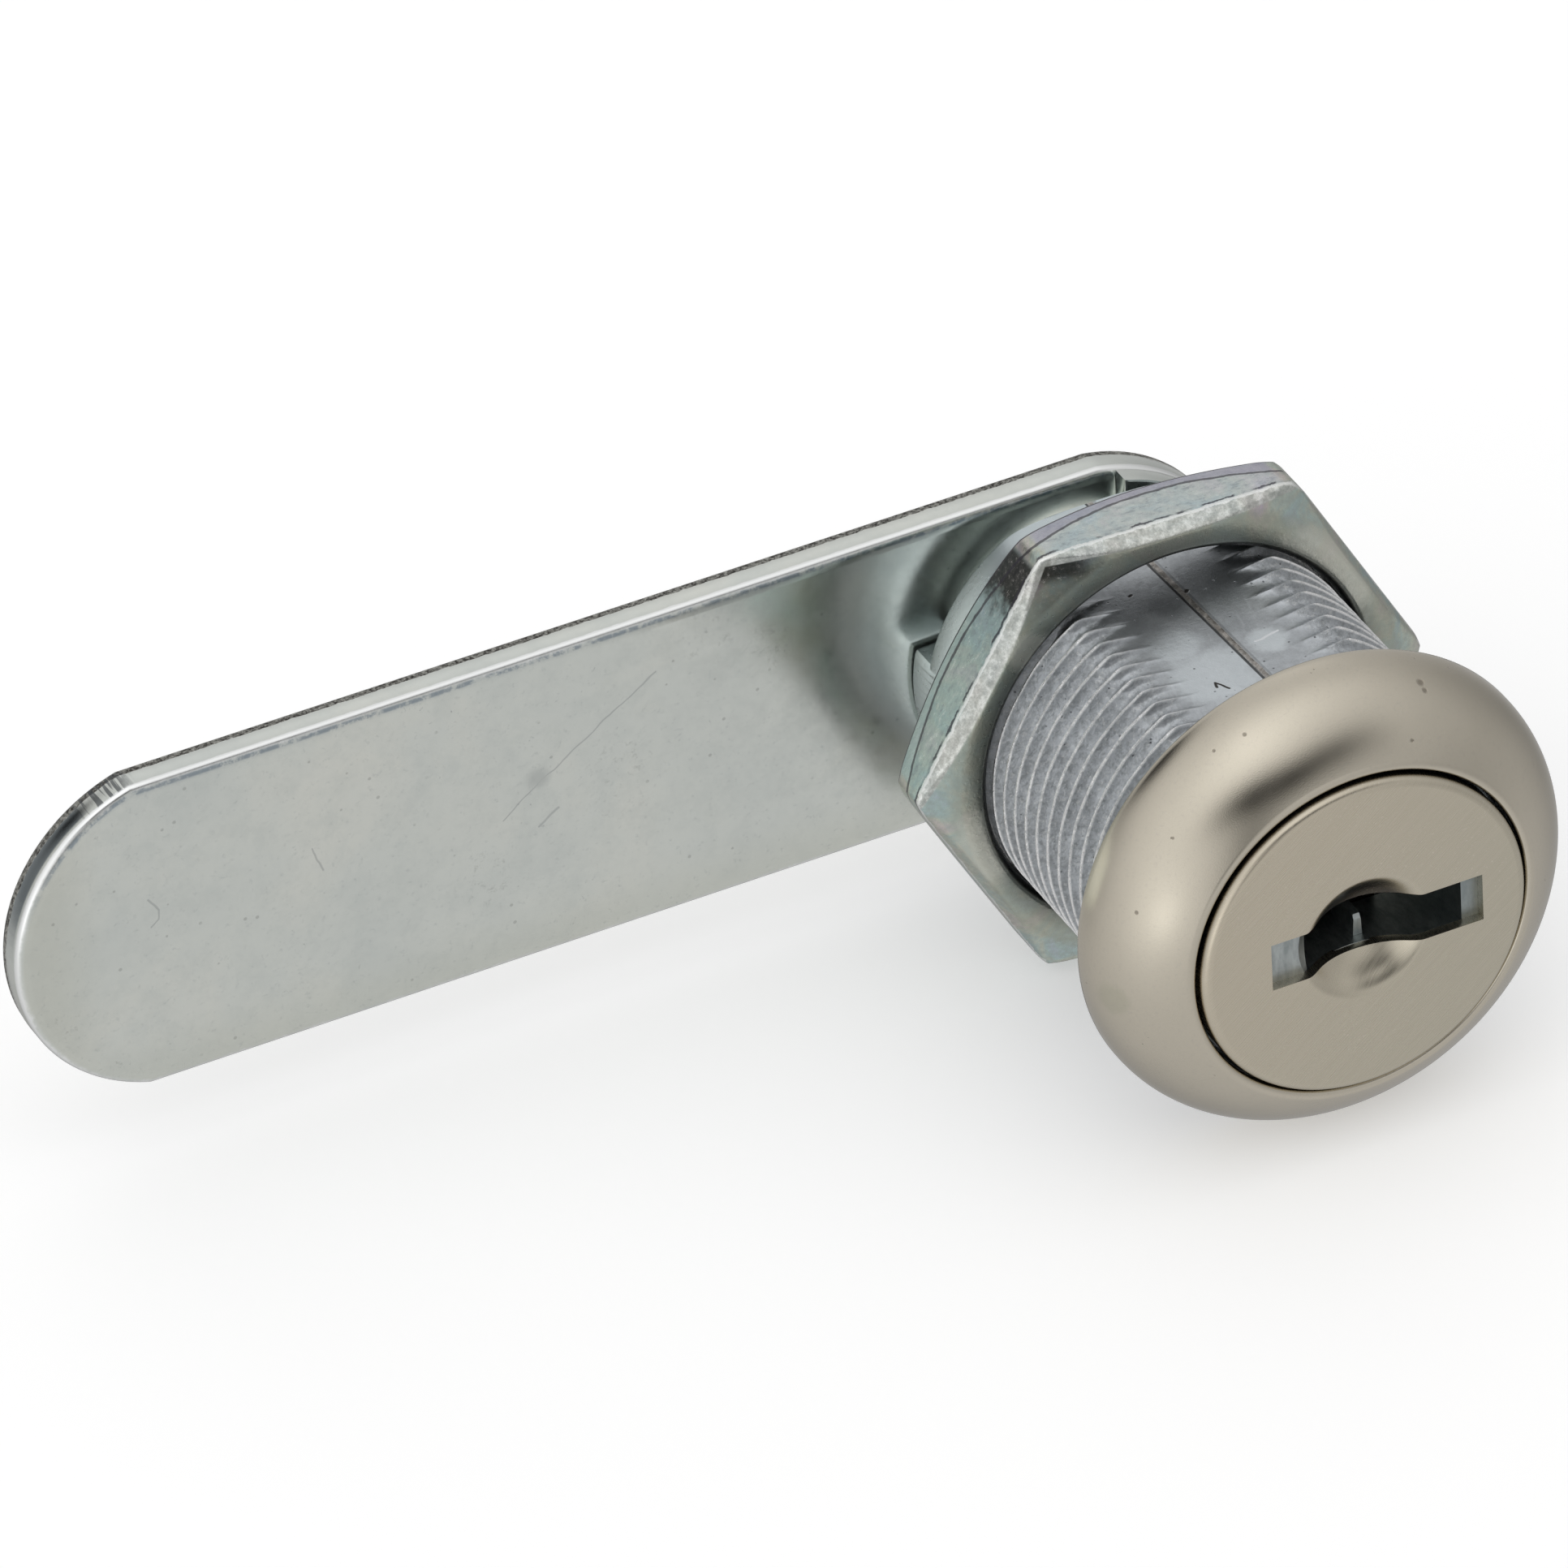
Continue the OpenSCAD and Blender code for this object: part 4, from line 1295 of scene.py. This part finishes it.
# Azimuth, elevation and width in degrees, and strength, of each patch of light or shade
STUDIO = [
    (-120, 25, 42, 0.25),
    (-125, -8, 20, 0.30),
    (-131, -9, 8, 0.30),
    (-150, 58, 24, 0.30),
    (-140, 80, 25, 0.25),
    (-60, 45, 30, 0.04),
    (-45, 0, 26, -0.25),
    (-31, 27, 13, -0.80),
    (22, 37, 14, 0.14),
    (100, 68, 24, 0.14),
    (70, 5, 35, -0.26),
    (62, -22, 22, -0.16),
    (10, -56, 38, -0.30),
    (130, -8, 28, -0.20),
    (-150, 30, 10, -0.45),
    (-164, 33, 10, -0.75),
    (180, 33, 10, -0.65),
    (163, 36, 10, -0.50),
    (147, 36, 11, -0.28),
    (-166, 14, 11, -0.40),
    (-166, -2, 10, -0.40),
]


def build_floor():
    """A pale floor under the lock."""
    low = cad_box[0].z
    corners = [(x * FLOOR_SIZE, y * FLOOR_SIZE, low) for x, y in ((-1, -1), (1, -1), (1, 1), (-1, 1))]
    floor = add_mesh("floor", corners, [(0, 1, 2, 3)])
    paper = bpy.data.materials.new("pale_paper")
    paper.use_nodes = True
    surface = paper.node_tree.nodes["Principled BSDF"]
    surface.inputs["Base Color"].default_value = (0.93, 0.93, 0.93, 1)
    surface.inputs["Roughness"].default_value = 0.9
    surface.inputs["Emission Color"].default_value = (1, 1, 1, 1)
    surface.inputs["Emission Strength"].default_value = 0.32
    floor.data.materials.append(paper)
    floor.visible_glossy = False


def soft_light(sky, place, azimuth, elevation, width, strength):
    """A soft round patch of light, its azimuth turned from +Y towards +X, its width in degrees."""
    a, e = math.radians(azimuth), math.radians(elevation)
    towards = (math.sin(a) * math.cos(e), math.cos(a) * math.cos(e), math.sin(e))
    sharpness = 1 / (1 - math.cos(math.radians(width)))
    facing = sky.vector("DOT_PRODUCT", place, towards)
    power = sky.math("MULTIPLY_ADD", facing, sharpness, -sharpness)
    return sky.math("MULTIPLY", sky.math("EXPONENT", power), strength)


def build_sky():
    """A soft white studio painted on the sky: an even level, with patches of light and shade."""
    world = bpy.data.worlds.new("studio")
    bpy.context.scene.world = world
    world.use_nodes = True
    sky = Nodes(world.node_tree)
    place = sky.add("ShaderNodeTexCoord").outputs["Generated"]
    total = STUDIO_LEVEL
    for patch in STUDIO:
        total = sky.math("ADD", total, soft_light(sky, place, *patch))
    background = sky.tree.nodes["Background"]
    sky.link(sky.math("MAXIMUM", total, LEAST_LIGHT), background.inputs["Strength"])
    background.inputs["Color"].default_value = (1.0, 1.0, 1.0, 1)


def build_camera():
    """A long lens in front of the lock, above it and to its left."""
    back = Vector((-0.34370, -0.73446, 0.58518))
    right = Vector((0.89084, -0.45215, -0.04426))
    up = back.cross(right)
    target = Vector(mm(-20.466, 9.694, 6.297))
    distance = 0.9398
    data = bpy.data.cameras.new("camera")
    data.sensor_width = 36.0
    data.lens = 496.1
    data.clip_start = 0.05
    data.clip_end = 50.0
    camera = bpy.data.objects.new("camera", data)
    bpy.context.scene.collection.objects.link(camera)
    turn = Matrix((right, up, back)).transposed().to_4x4()
    camera.matrix_world = Matrix.Translation(target + back * distance) @ turn
    bpy.context.scene.camera = camera


bpy.context.scene.view_settings.view_transform = "Standard"
build_camera()
build_floor()
build_sky()

zinc = cast_zinc()
nickel = satin_nickel()
plate_zinc = plated_plate("plated_steel")
steel = drawn_steel()
build_body(zinc)
build_head(nickel)
build_cap(brushed_nickel())
build_nut(plated_nut())
plug_zinc = clean_plug()
build_keyway_rib(plug_zinc)
build_stop_washer(plate_zinc)
build_cam(plated_plate("plated_cam", cam=True))
build_fasteners(plate_zinc, steel)
dress_cad_nodes(plug_zinc, stamped_brass(), steel)
